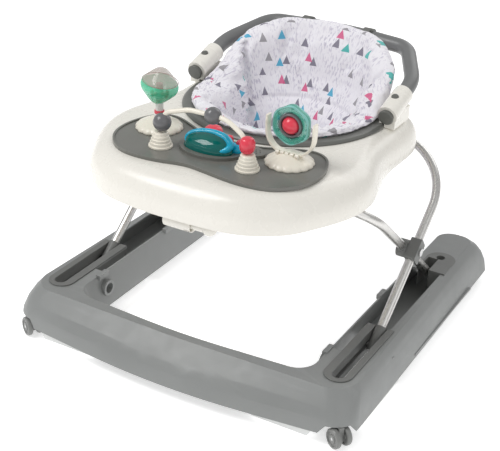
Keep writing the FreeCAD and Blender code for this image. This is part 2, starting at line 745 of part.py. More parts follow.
def make_rear_lift():
    """The tube whose foot slides in the base and whose bar carries the tray's rear."""
    gap = value("running_gap")
    tube = value("tube_radius")
    pin = value("pin_radius")
    tube_x = value("rear_tube_x")
    make_lift_tube("rear_lift_tube", 1, tube_x, value("rear_bend"), 0.0, 0.0)
    centre = crossing()
    foot = centre.sub(slope(1) * value("arm_lower"))
    sleeves = []
    feet = []
    slider_pins = []
    cross_pins = []
    along = slope(1)
    for name, side in SIDES:
        block = Part.makeBox(19.5, 40.0, 27.0, Vector(-8.5, -20.0, -13.5))
        block = block.makeFillet(4.0, [e for e in block.Edges if abs(e.tangentAt(0).x) > 0.9])
        if side < 0:
            block = block.mirror(Vector(0, 0, 0), ACROSS)
        block.Placement = Placement(Vector(side * tube_x, centre.y, centre.z),
                                    Rotation(ACROSS, value("arm_angle")))
        tube_middle = Vector(side * tube_x, centre.y, centre.z)
        inside = Part.makeCylinder(tube, 60.0, tube_middle.sub(along * 30.0), along)
        sleeve = block.cut(inside).cut(across_hole(centre, side, tube_x - 12.0, 30.0, pin))
        sleeves.append(sleeve)
        outside, inside = collar(foot, 1, side, tube_x, tube + 1.8, -FOOT_OVERHANG, 34.0, tube)
        tube_end = Vector(side * tube_x, foot.y, foot.z).sub(along * (FOOT_OVERHANG + 3.0))
        cap = Part.makeCylinder(tube + 1.8, 3.0, tube_end, along)
        ferrule = outside.cut(inside).fuse(cap).cut(across_hole(foot, side, tube_x - 12.0, 24.0, pin))
        feet.append(ferrule.removeSplitter())
        slider_pins.append(across_hole(foot, side, tube_x - 14.0, 28.0, pin))
        shank = across_hole(centre, side, tube_x - 30.0, 42.0, pin)
        head = across_hole(centre, side, tube_x + 11.2, 3.0, pin + 3.0)
        cross_pins.append(shank.fuse(head).removeSplitter())
    free_shape("cross_sleeves", Part.makeCompound(sleeves))
    free_shape("slider_feet", Part.makeCompound(feet))
    free_shape("slider_pins", Part.makeCompound(slider_pins))
    free_shape("cross_pins", Part.makeCompound(cross_pins))


# ------------------------------------------------------------------ the tray

# Right half of the tray's skirt line, front to rear.
TRAY_SIDE = ((84, -320), (130, -308), (160, -290), (183, -270), (204, -238), (239, -160), (244, -99),
             (231, -43), (221, 2), (219, 82), (216, 138), (203, 165), (176, 182), (142, 207),
             (76, 250))
TRAY_NOSE = (0, -325)
TRAY_TAIL = (0, 266)
# Height shares of the tray's sections with the inset of each.
TRAY_SECTIONS = ((0.0, 0.0), (0.27, -1.5), (0.54, 1.5), (0.74, 8.0), (0.88, 17.0), (0.96, 27.0), (1.0, 38.0))


def tray_line():
    right = [(float(x), float(y)) for x, y in TRAY_SIDE]
    left = [(-x, y) for x, y in reversed(right)]
    return [TRAY_NOSE] + right + [TRAY_TAIL] + left


def tray_block(wall, low, high):
    wires = []
    for share, inset in TRAY_SECTIONS:
        wires.append(smooth_loop(tray_line(), blend(low, high, share), inset + wall * (1.0 + 0.4 * share)))
    return Part.makeLoft(wires, True, False)


# how far forward the front bar's tracks run, and the bar's play in them
RAIL_REACH = 100.0
RAIL_PLAY = 0.6


def seat_cylinder(radius, low, high):
    return Part.makeCylinder(radius, high - low, Vector(0, value("seat_y"), low))


def make_tray():
    low = value("tray_bottom")
    high = value("tray_top")
    wall = value("tray_wall")
    tray = tray_block(0.0, low, high).cut(tray_block(wall, low - 1.0, high - wall))
    tray = tray.cut(seat_cylinder(value("seat_hole"), low - 5.0, high + 5.0))
    # the rear skirt is shallower, to let the rear lift tube through
    tray = tray.cut(solid_box((-260, 171, low - 5.0), (260, 300, 331.0)))
    free_shape("tray_shell", tray)
    # tracks for the front bar of the lift
    bar = tray_bar(-1)
    rails = []
    bearings = []
    rear_bar = tray_bar(1)
    radius = value("tube_radius")
    for name, side in SIDES:
        rail = solid_box((side * 92.0, bar.y - RAIL_REACH - 10.0, 300.5),
                         (side * 106.0, bar.y + 16.0, high - wall - 0.2))
        track = solid_box((side * 91.0, bar.y - RAIL_REACH, bar.z - radius - RAIL_PLAY),
                          (side * 107.0, bar.y, bar.z + radius + RAIL_PLAY))
        end_start = Vector(side * 91.0, bar.y, bar.z)
        end = Part.makeCylinder(radius + RAIL_PLAY, 16.0, end_start, Vector(side, 0, 0))
        rails.append(rail.cut(track).cut(end))
        block = solid_box((side * 117.0, rear_bar.y - 13.0, 301.0), (side * 129.0, rear_bar.y + 9.5, 355.5))
        bore = Part.makeCylinder(radius + value("running_gap"), 16.0,
                                 Vector(side * 115.0, rear_bar.y, rear_bar.z), Vector(side, 0, 0))
        bearings.append(block.cut(bore))
    free_shape("tray_rails", Part.makeCompound(rails))
    free_shape("rear_bearings", Part.makeCompound(bearings))


PANEL_SIDE = ((50, -268), (94, -273), (131, -268), (161, -250), (183, -218), (189, -180), (181, -141),
              (163, -112), (140, -102), (112, -108), (58, -134))
PANEL_NOSE = (0, -260)
PANEL_TAIL = (0, -143)


# the panel's left wing is a little narrower than its right one
PANEL_LEFT_SHARE = 0.94
PANEL_RIM_WIDTH = 3.5


def panel_line():
    right = [(float(x), float(y)) for x, y in PANEL_SIDE]
    left = [(-x * PANEL_LEFT_SHARE, y) for x, y in reversed(right)]
    return [PANEL_NOSE] + right + [PANEL_TAIL] + left


def prism(points, inset, low, high):
    face = Part.Face(smooth_loop(points, low, inset))
    return face.extrude(Vector(0, 0, high - low))


def make_toy_panel():
    low = value("tray_top")
    top = low + value("panel_height")
    rim = prism(panel_line(), 0.0, low, top + value("panel_rim"))
    hollow = prism(panel_line(), PANEL_RIM_WIDTH, top, top + value("panel_rim") + 1.0)
    free_shape("toy_panel", rim.cut(hollow))


def make_seat_ring():
    outer = size("ring_outer")
    inner = size("ring_inner")
    hole = size("seat_hole")
    top = size("ring_top")
    low = value("tray_top")
    profile = [
        (hole - 0.4, low - 24.0), (hole - 0.4, low + 0.3), (outer, low + 0.3), (outer, top - 4.5),
        (outer - 4.0, top - 1.0), (outer - 11.0, top), (inner + 7.0, top), (inner + 1.5, top - 2.5),
        (inner, top - 7.0), (inner, low - 24.0),
    ]
    keep(revolved("ring", profile, (0, size("seat_y"), 0)), "seat_ring")


# ------------------------------------------------------------------ the seat

SLING_PROFILE = ((154.0, 384.0), (150.0, 370.0), (136.0, 345.0), (123.0, 318.0), (112.0, 285.0),
                 (96.0, 250.0), (66.0, 228.0), (0.0, 222.0))
SLING_THICKNESS = 8.0


def make_seat_sling():
    """The fabric sling below the ring, with two leg openings."""
    centre = value("seat_y")
    outer = [Vector(r, 0, z) for r, z in SLING_PROFILE]
    inner = [Vector(max(r - SLING_THICKNESS, 0.0), 0, z + (SLING_THICKNESS if r < 100.0 else 0.0))
             for r, z in reversed(SLING_PROFILE)]
    outline = Part.makePolygon(outer + inner + [outer[0]])
    sling = Part.Face(outline).revolve(Vector(0, 0, 0), UP, 360.0)
    sling.translate(Vector(0, centre, 0))
    for name, side in SIDES:
        leg = Part.makeCylinder(40.0, 140.0, Vector(side * 42.0, centre - 30.0, 290.0),
                                Vector(side * 0.42, -0.60, -0.68))
        sling = sling.cut(leg)
    free_shape("seat_sling", sling)


BACK_PROFILE = ((137.0, 385.0), (155.0, 385.0), (161.0, 420.0), (168.0, 455.0), (173.0, 486.0),
                (158.0, 488.0), (150.0, 455.0), (143.0, 420.0))
BACK_SPREAD = 130.0


def make_seat_back():
    """The padded back that stands up behind the child, above the ring."""
    centre = value("seat_y")
    outline = Part.makePolygon([Vector(r, 0, z) for r, z in BACK_PROFILE] + [Vector(137.0, 0, 385.0)])
    back = Part.Face(outline).revolve(Vector(0, 0, 0), UP, BACK_SPREAD)
    back.rotate(Vector(0, 0, 0), UP, 90.0 - BACK_SPREAD / 2.0)
    back.translate(Vector(0, centre, 0))
    crown = Part.makeCylinder(330.0, 400.0, Vector(0, centre - 100.0, 157.0), REARWARD)
    free_shape("seat_back", back.common(crown))


# ------------------------------------------------------------ the push handle

def handle_axis():
    angle = math.radians(value("handle_slope"))
    return Vector(0, math.cos(angle), math.sin(angle))


def handle_point(across, along):
    """A point of the handle's plane: across is X, along is the distance up the slope."""
    start = Vector(across, value("handle_y"), value("handle_z"))
    return start.add(handle_axis() * along)


def handle_normal():
    """Unit vector square to the handle's plane, upward."""
    angle = math.radians(value("handle_slope"))
    return Vector(0, -math.sin(angle), math.cos(angle))


# distances up the slope: the tube's end, the snap holes and the bends
HOOP_START = 16.0
SNAP_ALONG = 38.0
HOOP_SHOULDER = 112.0
HOOP_CORNER = (140.0, 203.0)
HOOP_TAIL = 216.0
HOOP_BOW = 700.0
HOOP_WALL = 2.2
# where the seat's two hooks clip round the hoop's rear bar
HOOK_PLACES = (-66.0, 58.0)


def hoop_path():
    half = value("handle_x")
    right = [
        (handle_point(half, HOOP_START), 0.0), (handle_point(half, HOOP_SHOULDER), 95.0),
        (handle_point(HOOP_CORNER[0], HOOP_CORNER[1]), 42.0),
    ]
    left = [(Vector(-p.x, p.y, p.z), r) for p, r in reversed(right)]
    return rounded_path(right + [(handle_point(0.0, HOOP_TAIL), HOOP_BOW)] + left)


def bar_point(across):
    """A point of the centre line of the hoop's bowed rear bar."""
    leave = math.atan2(HOOP_TAIL - HOOP_CORNER[1], HOOP_CORNER[0])
    bow_centre = HOOP_TAIL - HOOP_BOW / math.cos(leave)
    return handle_point(across, bow_centre + math.sqrt(HOOP_BOW ** 2 - across ** 2))


def along_handle(name, radius, low, high, side, across=0.0):
    start = handle_point(side * value("handle_x") + across, low)
    return cylinder(name, radius, high - low, (start.x, start.y, start.z), handle_axis())


def make_handle():
    hoop = swept_tube(hoop_path(), value("handle_radius"), HOOP_WALL)
    for name, side in SIDES:
        start = handle_point(side * value("handle_x"), SNAP_ALONG)
        hoop = hoop.cut(Part.makeCylinder(value("snap_radius") + 0.4, 20.0, start, handle_normal()))
    free_shape("handle_hoop", hoop)
    bar = swept_rod(hoop_path(), value("handle_radius") + value("running_gap"))
    hooks = []
    for across in HOOK_PLACES:
        centre = bar_point(across)
        clip = Part.makeCylinder(value("handle_radius") + 3.5, 18.0, centre.sub(ACROSS * 9.0), ACROSS)
        mouth = solid_box((across - 12.0, centre.y - 30.0, centre.z - 40.0),
                          (across + 12.0, centre.y + 30.0, centre.z - 3.0))
        tab = solid_box((across - 7.0, centre.y - 30.0, centre.z + 13.5),
                        (across + 7.0, centre.y, centre.z + 17.0))
        hooks.append(clip.cut(mouth).fuse(tab).cut(bar).removeSplitter())
    free_shape("seat_hooks", Part.makeCompound(hooks))


def snap_base(x, rise):
    """A point above the handle tube's snap hole, rise away from the tube's centre line."""
    return handle_point(x, SNAP_ALONG).add(handle_normal() * rise)


def make_socket(name, side):
    """White barrel on the tray that takes one end of the handle."""
    length = value("socket_length")
    x = side * value("handle_x")
    barrel = along_handle("barrel_" + name, size("socket_radius"), 4.0, length, side)
    foot = box_between("socket_foot_" + name, (x - 14.0, 67.0, value("tray_top") + 0.1),
                       (x + 14.0, 130.0, 405.0))
    bore = along_handle("socket_bore_" + name, size("handle_radius") + size("running_gap"),
                        HOOP_START - 2.0, length + 60.0, side)
    front = along_handle("socket_front_" + name, size("button_radius"), 0.0, HOOP_START, side)
    window = cylinder("snap_window_" + name, size("snap_radius") + 0.3, 12.0, tuple(snap_base(x, 11.0)),
                      handle_normal())
    relief = cylinder("ring_relief_" + name, size("ring_outer") + 0.3, 40.0,
                      (0, size("seat_y"), size("ring_top") + 0.3 - 40.0))
    solid = fuse("socket_solid_" + name, barrel, foot)
    keep(cut("socket_shape_" + name, solid, bore, front, window, relief), "handle_socket_" + name)
    # round release button in the socket's front end
    stem = size("button_radius") - size("running_gap")
    head = size("button_radius") + 2.0
    button = revolved("release_" + name,
                      [(0, 0), (head - 1.4, 0), (head, 1.4), (head, 2.6), (stem, 3.2), (stem, 11.0),
                       (0, 11.0)],
                      tuple(handle_point(x, -4.0)), handle_axis())
    keep(button, "release_button_" + name)
    radius = size("snap_radius")
    cap = revolved("snap_" + name, [(0, 0), (radius, 0), (radius, 4.0), (radius - 1.4, 5.2), (0, 5.8)],
                   tuple(snap_base(x, value("handle_radius") + 0.5)), handle_normal())
    keep(cap, "snap_button_" + name)


# ------------------------------------------------------------------ the toys

def panel_top():
    return value("tray_top") + value("panel_height")


def dome_profile(radius, rise):
    """A flared, scalloped-edge dome, as radius and height pairs."""
    return [(0, 0), (radius, 0), (radius, 3.0), (radius * 0.93, 5.5), (radius * 0.80, 8.5),
            (radius * 0.62, rise * 0.78), (radius * 0.36, rise), (0, rise)]


RATTLE_PIN = 2.5


def make_rattle():
    radius = size("toy_base_radius")
    x = -value("rattle_x")
    y = -value("rattle_y")
    floor = panel_top()
    base = revolved("rattle_dome", dome_profile(radius, 20.0), (x, y, floor))
    keep(base, "rattle_base")
    stalk = size("rattle_z") - size("rattle_radius") - (floor + 20.0) - 0.4
    post = cylinder("rattle_stalk", 6.5, stalk, (x, y, floor + 20.0))
    pin = cylinder("rattle_pin", RATTLE_PIN, stalk + 20.0, (x, y, floor + 20.0))
    keep(fuse("rattle_post_solid", post, pin), "rattle_post")
    centre = size("rattle_z")
    ball = sphere("rattle_ball", size("rattle_radius"), (x, y, centre))
    bore = cylinder("rattle_bore", size("running_gap") + RATTLE_PIN, 24.0,
                    (x, y, centre - size("rattle_radius") - 2.0))
    keep(cut("rattle_ball_bored", ball, bore), "rattle_head")


def make_spinner():
    radius = size("toy_base_radius")
    x = value("spinner_x")
    y = -value("spinner_y")
    floor = panel_top()
    axle_z = value("spinner_z")
    half = 43.0
    dome = revolved("spinner_dome", dome_profile(radius, 19.0), (x, y, floor))
    yoke_low = box("yoke_low", (2 * half - 22.0, 12.0, 6.0), (x - half + 11.0, y - 6.0, floor + 15.0))
    arms = []
    for name, side in SIDES:
        arms.append(box_between("yoke_arm_" + name, (x + side * half, y - 7.0, floor + 30.0),
                                (x + side * (half - 4.0), y + 7.0, axle_z + 7.0)))
        slant = extruded("yoke_slant_" + name,
                         ((0, 0), (11.0, 14.0), (11.0, 19.0), (7.0, 19.0), (7.0, 16.0), (0.5, 6.0), (0, 6.0)),
                         12.0)
        slant.Placement = Placement(Vector(x + side * (half - 11.0), y + side * 6.0, floor + 15.0),
                                    Rotation(Vector(side, 0, 0), Vector(0, 0, 1), Vector(0, -side, 0), "XYZ"))
        arms.append(slant)
    axle = cylinder("spinner_axle", 2.5, 2 * half, (x - half, y, axle_z), ACROSS)
    keep(fuse("spinner_stand_solid", dome, yoke_low, axle, *arms), "spinner_stand")
    # ring, collar and ball all turn on the axle
    bore = cylinder("spinner_bore", size("running_gap") + 2.5, 80.0, (x - 40.0, y, axle_z), ACROSS)
    ring = torus("spinner_torus", size("spinner_radius") - 7.0, 7.0, (x, y, axle_z), REARWARD)
    keep(cut("spinner_ring_shape", ring, bore), "spinner_ring")
    bore_two = cylinder("collar_bore", size("running_gap") + 2.5, 80.0, (x - 40.0, y, axle_z), ACROSS)
    hub = cylinder("hub_disc", 19.9, 9.0, (x, y - 4.5, axle_z), REARWARD)
    hub_hole = sphere("hub_hole", 14.6, (x, y, axle_z))
    keep(cut("spinner_collar_shape", hub, hub_hole, bore_two), "spinner_collar")
    bore_three = cylinder("ball_bore", size("running_gap") + 2.5, 80.0, (x - 40.0, y, axle_z), ACROSS)
    ball = sphere("ball_solid", 14.6, (x, y, axle_z), ACROSS)
    keep(cut("spinner_ball_shape", ball, bore_three), "spinner_ball")


# the bead arch: height of its ends and its top, and how far the top leans back
ARCH_FOOT = 402.0
ARCH_TOP = 453.0
ARCH_LEAN = 10.0


def arch_path():
    """Centre line of the bead arch from one cone to the other."""
    half = value("cone_x") - 2.0
    y = -value("cone_y")
    top_y = y + ARCH_LEAN
    corners = [(Vector(-half, y, ARCH_FOOT), 0.0), (Vector(-half + 2.0, y + 3.0, 441.0), 15.0),
               (Vector(-34.0, top_y, ARCH_TOP), 60.0), (Vector(34.0, top_y, ARCH_TOP), 60.0),
               (Vector(half - 6.0, y + 3.0, 434.0), 22.0), (Vector(half, y, ARCH_FOOT), 0.0)]
    return rounded_path(corners)


def make_bead_maze():
    floor = panel_top()
    cones = []
    for name, side in SIDES:
        ribs = [(0, 0)]
        height = value("cone_height")
        steps = 6
        for step in range(steps):
            share = step / steps
            rib = blend(20.0, 11.0, share)
            low = height * step / steps
            ribs.append((rib, low))
            ribs.append((rib, low + height / steps * 0.62))
            ribs.append((rib - 1.8, low + height / steps * 0.62))
            ribs.append((rib - 1.8, low + height / steps))
        ribs.append((0, height))
        body = revolved("cone_" + name, ribs, (side * value("cone_x"), -value("cone_y"), floor))
        bore = cylinder("cone_bore_" + name, size("wire_radius") + 2.0, 12.0,
                        (side * (value("cone_x") - 2.0), -value("cone_y"), ARCH_FOOT - 2.0))
        cones.append(cut("ribbed_cone_" + name, body, bore))
    keep(group("cones", cones), "bead_cones")
    arch = swept_rod(arch_path(), value("wire_radius"))
    free_shape("bead_arch", arch)
    bead_x = value("cone_x") - 2.0
    bead_y = 1.0 - value("cone_y")
    barrel_low = floor + value("cone_height") + 0.2
    left_ball = Part.makeSphere(15.0, Vector(-bead_x, bead_y, barrel_low + 15.0))
    barrel = Part.makeCylinder(12.0, 26.0, Vector(bead_x, bead_y, barrel_low))
    barrel = barrel.makeFillet(5.0, barrel.Edges)
    beads = [left_ball.cut(arch), barrel.cut(arch)]
    free_shape("end_beads", Part.makeCompound(beads))
    bead_centre = Vector(10.0, ARCH_LEAN - value("cone_y"), ARCH_TOP)
    bead = Part.makeSphere(value("bead_radius"), bead_centre, ACROSS)
    bore = Part.makeCylinder(value("wire_radius") + 0.6, 40.0, bead_centre.sub(ACROSS * 20.0), ACROSS)
    free_shape("sliding_bead", bead.cut(bore))


# name, x, y, radius and rise of each button
MUSIC_BUTTONS = (("large", -19.0, -158.0, 16.0, 15.0), ("middle", 12.0, -158.0, 6.5, 10.0),
                 ("small", 35.0, -165.0, 6.5, 10.0))
BUTTON_SINK = 0.8


def make_music_toy():
    floor = panel_top()
    x = -value("music_x")
    y = -value("music_y")

    def oval(width, depth, low, high, shift=0.0):
        curve = Part.Ellipse(Vector(x + shift, y, low), width, depth)
        return Part.Face(Part.Wire([curve.toShape()])).extrude(Vector(0, 0, high - low))

    plinth = oval(56.0, 43.0, floor, floor + 5.0)
    wing = Part.Ellipse(Vector(40.0, y + 20.0, floor), 41.0, 22.0)
    plinth = plinth.fuse(Part.Face(Part.Wire([wing.toShape()])).extrude(Vector(0, 0, 5.0)))
    for name, across, along, radius, rise in MUSIC_BUTTONS:
        plinth = plinth.cut(Part.makeCylinder(radius + 0.4, 4.0, Vector(across, along, floor + 1.5)))
    speaker = Vector(64.0, -163.0, floor + 3.0)
    plinth = plinth.cut(Part.makeCylinder(1.4, 4.0, speaker))
    for turn in range(0, 360, 60):
        hole = speaker.add(Rotation(UP, turn).multVec(ACROSS) * 7.0)
        plinth = plinth.cut(Part.makeCylinder(1.4, 4.0, hole))
    inside_rim = prism(panel_line(), PANEL_RIM_WIDTH + 0.2, floor, floor + 5.0)
    free_shape("music_plinth", plinth.common(inside_rim).removeSplitter())
    # bezel ring round the dome
    lens_y = y - 12.0

    def ring_oval(width, depth, low, high):
        curve = Part.Ellipse(Vector(x, lens_y, low), width, depth)
        return Part.Face(Part.Wire([curve.toShape()])).extrude(Vector(0, 0, high - low))

    bezel_low = floor + 5.0
    bezel_top = floor + 16.0
    bezel = ring_oval(47.0, 22.5, bezel_low, bezel_top).cut(ring_oval(42.0, 18.0, bezel_low, bezel_top))
    free_shape("music_bezel", bezel)
    dome = Part.makeSphere(1.0)
    stretch = FreeCAD.Matrix()
    stretch.scale(41.9, 17.9, 17.0)
    dome = dome.transformGeometry(stretch)
    dome.translate(Vector(x, lens_y, floor + 8.0))
    above = solid_box((x - 60.0, lens_y - 40.0, bezel_low), (x + 60.0, lens_y + 40.0, floor + 40.0))
    free_shape("music_lens", dome.common(above))
    for name, across, along, radius, rise in MUSIC_BUTTONS:
        profile = [(0, 0), (radius, 0), (radius, rise * 0.55), (radius * 0.86, rise * 0.82),
                   (radius * 0.5, rise), (0, rise)]
        button = revolved("music_" + name, profile, (across, along, floor + 5.0 - BUTTON_SINK))
        keep(button, "music_button_" + name)


def make_adjuster():
    """Height adjuster under the tray's front edge, with its release lever."""
    under = value("tray_top") - value("tray_wall")
    middle = size("adjuster_z")
    housing = box("adjuster_block", (50.0, 27.0, under - 4.0 - number(middle)), (-26.0, -296.0, middle))
    neck = box("adjuster_neck", (50.0, 12.0, 10.0), (-26.0, -281.0, under - 10.2))
    grip = cylinder("adjuster_grip", 13.0, 50.0, (-26.0, -284.0, middle), ACROSS)
    body = fuse("adjuster_solid", housing, neck, grip)
    pocket = box("adjuster_pocket", (20.0, 20.0, 22.0), (12.0, -295.0, middle - 9.0))
    keep(cut("adjuster_shape", body, pocket), "adjuster_housing")
    shank = cylinder("lever_shank", 7.0, 32.0, (14.0, -285.0, middle), ACROSS)
    knob = sphere("lever_knob", 12.0, (54.0, -285.0, middle + 2.0))
    keep(fuse("lever_solid", shank, knob), "adjuster_lever")


# ---------------------------------------------------------------- the model

make_base_shell()
make_base_fittings()
make_stopper_pads()
make_casters()
make_front_lift()
make_rear_lift()
make_tray()
make_adjuster()
make_toy_panel()
make_seat_ring()
make_seat_sling()
make_seat_back()
make_handle()
for socket_name, socket_side in SIDES:
    make_socket(socket_name, socket_side)
make_rattle()
make_spinner()
make_bead_maze()
make_music_toy()
doc.recompute()

faults = []
for item in doc.Objects:
    if "Invalid" in item.State or "Error" in item.State:
        faults.append("%s is %s" % (item.Name, item.State))
for item in subparts:
    if item.Shape.isNull() or not item.Shape.isValid():
        faults.append(item.Label + " has no valid shape")
    elif not item.Shape.Solids:
        faults.append(item.Label + " has no solid")
if faults:
    raise RuntimeError("; ".join(faults))

os.makedirs("parts", exist_ok=True)
for item in subparts:
    item.Shape.exportStep("parts/" + item.Label + ".step")
    bounds = item.Shape.BoundBox
    print("%-24s solids %d  volume %9.0f  x %7.1f %7.1f  y %7.1f %7.1f  z %6.1f %6.1f" % (
        item.Label, len(item.Shape.Solids), item.Shape.Volume, bounds.XMin, bounds.XMax,
        bounds.YMin, bounds.YMax, bounds.ZMin, bounds.ZMax))
print(len(subparts), "sub-parts")
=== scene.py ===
import json
import math

import bmesh
import bpy
import numpy as np
from mathutils import Matrix, Vector, noise


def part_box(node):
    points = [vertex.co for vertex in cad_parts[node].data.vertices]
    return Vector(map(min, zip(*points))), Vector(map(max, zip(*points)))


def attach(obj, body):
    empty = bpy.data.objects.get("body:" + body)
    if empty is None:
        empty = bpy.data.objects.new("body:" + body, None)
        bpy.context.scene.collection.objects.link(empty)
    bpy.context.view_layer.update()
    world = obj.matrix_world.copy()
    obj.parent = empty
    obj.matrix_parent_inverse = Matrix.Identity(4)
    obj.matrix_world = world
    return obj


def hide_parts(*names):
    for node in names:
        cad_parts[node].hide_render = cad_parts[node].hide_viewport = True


# A baby walker. The CAD frame is the structure; this script gives every surface its
# material and replaces the soft and the sculpted pieces. Metres, +Z up, child faces -Y.

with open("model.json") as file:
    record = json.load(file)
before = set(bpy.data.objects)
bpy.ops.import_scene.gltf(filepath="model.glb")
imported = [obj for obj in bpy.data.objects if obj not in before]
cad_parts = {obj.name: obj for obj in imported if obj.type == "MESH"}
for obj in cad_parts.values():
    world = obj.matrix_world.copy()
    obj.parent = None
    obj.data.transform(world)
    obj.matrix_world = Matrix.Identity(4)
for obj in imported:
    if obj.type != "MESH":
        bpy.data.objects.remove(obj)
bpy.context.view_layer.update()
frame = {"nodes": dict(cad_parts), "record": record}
TRAY_BODY = "tray"
RING_LOW, RING_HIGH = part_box("seat_ring")
RING_CENTRE = (RING_LOW + RING_HIGH) / 2
PANEL_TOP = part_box("rattle_base")[0].z


# ------------------------------------------------------------------ node trees

class Tree:
    """A short way to write shader nodes: each call makes one node and links its inputs."""

    def __init__(self, material):
        material.use_nodes = True
        self.tree = material.node_tree
        self.tree.nodes.clear()

    def add(self, kind, inputs=None, **settings):
        node = self.tree.nodes.new(kind)
        for name, setting in settings.items():
            setattr(node, name, setting)
        for socket, source in (inputs or {}).items():
            self.link(node, socket, source)
        return node

    def link(self, node, socket, source):
        target = node.inputs[socket]
        if isinstance(source, bpy.types.NodeSocket):
            self.tree.links.new(source, target)
        elif isinstance(source, bpy.types.Node):
            self.tree.links.new(source.outputs[0], target)
        else:
            target.default_value = source

    def math(self, operation, a, b=0.0, clamp=False):
        return self.add("ShaderNodeMath", {0: a, 1: b}, operation=operation, use_clamp=clamp).outputs[0]

    def mix(self, factor, a, b):
        node = self.add("ShaderNodeMix", data_type="RGBA")
        self.link(node, 0, factor)
        self.link(node, 6, a)
        self.link(node, 7, b)
        return node.outputs[2]

    def noise(self, scale, detail=3.0, vector=None, roughness=0.5):
        vector = vector or self.place()
        return self.add("ShaderNodeTexNoise", {"Vector": vector, "Scale": scale, "Detail": detail,
                                               "Roughness": roughness}).outputs[0]

    def place(self):
        return self.add("ShaderNodeTexCoord").outputs["Object"]

    def spread(self, source, low, high, to_low, to_high):
        return self.add("ShaderNodeMapRange", {0: source, 1: low, 2: high, 3: to_low, 4: to_high}).outputs[0]

    def bump(self, height, distance, strength=1.0):
        inputs = {"Height": height, "Distance": distance, "Strength": strength}
        return self.add("ShaderNodeBump", inputs).outputs[0]

    def surface(self, **inputs):
        sockets = {name.replace("_", " "): value for name, value in inputs.items()}
        shader = self.add("ShaderNodeBsdfPrincipled", sockets)
        self.add("ShaderNodeOutputMaterial", {0: shader})
        return shader


def rgb(red, green, blue):
    """Linear colour from 0..255 display values."""
    def linear(v):
        v = v / 255.0
        return v / 12.92 if v <= 0.04045 else ((v + 0.055) / 1.055) ** 2.4
    return (linear(red), linear(green), linear(blue), 1.0)


def scaled(colour, share):
    return tuple(min(1.0, c * share) for c in colour[:3]) + (1.0,)


def plastic(name, colour, roughness=0.4, grain=0.00006, grain_scale=1400.0, mottle=0.05, wear_and_highlight=0.0):
    """Moulded plastic: fine texture, slow colour drift, and edges painted lighter as wear and as a painted
    highlight.
    """
    material = bpy.data.materials.new(name)
    tree = Tree(material)
    drift = tree.noise(9.0, 4.0)
    tone = tree.mix(tree.spread(drift, 0.3, 0.7, 0.0, 1.0), scaled(colour, 1.0 - mottle),
                    scaled(colour, 1.0 + mottle))
    if wear_and_highlight:
        # edges found by pointiness are painted lighter: partly rubbed wear, partly a painted highlight on the
        # rims
        edge = tree.add("ShaderNodeNewGeometry").outputs["Pointiness"]
        edge_wear_and_highlight = tree.math("MULTIPLY", tree.spread(edge, 0.52, 0.60, 0.0, 1.0), tree.noise(60.0, 3.0))
        tone = tree.mix(tree.math("MULTIPLY", edge_wear_and_highlight, wear_and_highlight), tone, scaled(colour, 1.55))
    rough = tree.spread(tree.noise(45.0, 3.0), 0.3, 0.7, roughness - 0.05, roughness + 0.05)
    bump = tree.bump(tree.noise(grain_scale, 2.0), grain)
    tree.surface(Base_Color=tone, Roughness=rough, Normal=bump)
    return material


def steel(name, colour, roughness):
    material = bpy.data.materials.new(name)
    tree = Tree(material)
    streak = tree.add("ShaderNodeMapping", {0: tree.place(), 3: (900.0, 90.0, 90.0)})
    line = tree.noise(1.0, 3.0, streak.outputs[0])
    rough = tree.spread(line, 0.3, 0.7, roughness - 0.06, roughness + 0.07)
    tone = tree.mix(line, scaled(colour, 0.94), scaled(colour, 1.05))
    tree.surface(Base_Color=tone, Roughness=rough, Metallic=1.0, Normal=tree.bump(line, 0.00002))
    return material


def clear(name, colour, roughness=0.08, share=0.8):
    """Tinted see-through plastic."""
    material = bpy.data.materials.new(name)
    tree = Tree(material)
    tone = tree.mix(tree.noise(30.0, 2.0), scaled(colour, 0.92), scaled(colour, 1.05))
    rough = tree.spread(tree.noise(70.0, 2.0), 0.3, 0.7, roughness, roughness + 0.04)
    tree.surface(Base_Color=tone, Roughness=rough, Transmission_Weight=share, IOR=1.45)
    return material


def film(name, colour, cover, roughness=0.07):
    """Thin tinted plastic: glossy, and seen through by as much as cover leaves."""
    material = bpy.data.materials.new(name)
    tree = Tree(material)
    tone = tree.mix(tree.noise(30.0, 2.0), scaled(colour, 0.93), scaled(colour, 1.05))
    rough = tree.spread(tree.noise(70.0, 2.0), 0.3, 0.7, roughness, roughness + 0.04)
    tree.surface(Base_Color=tone, Roughness=rough, Alpha=cover)
    return material


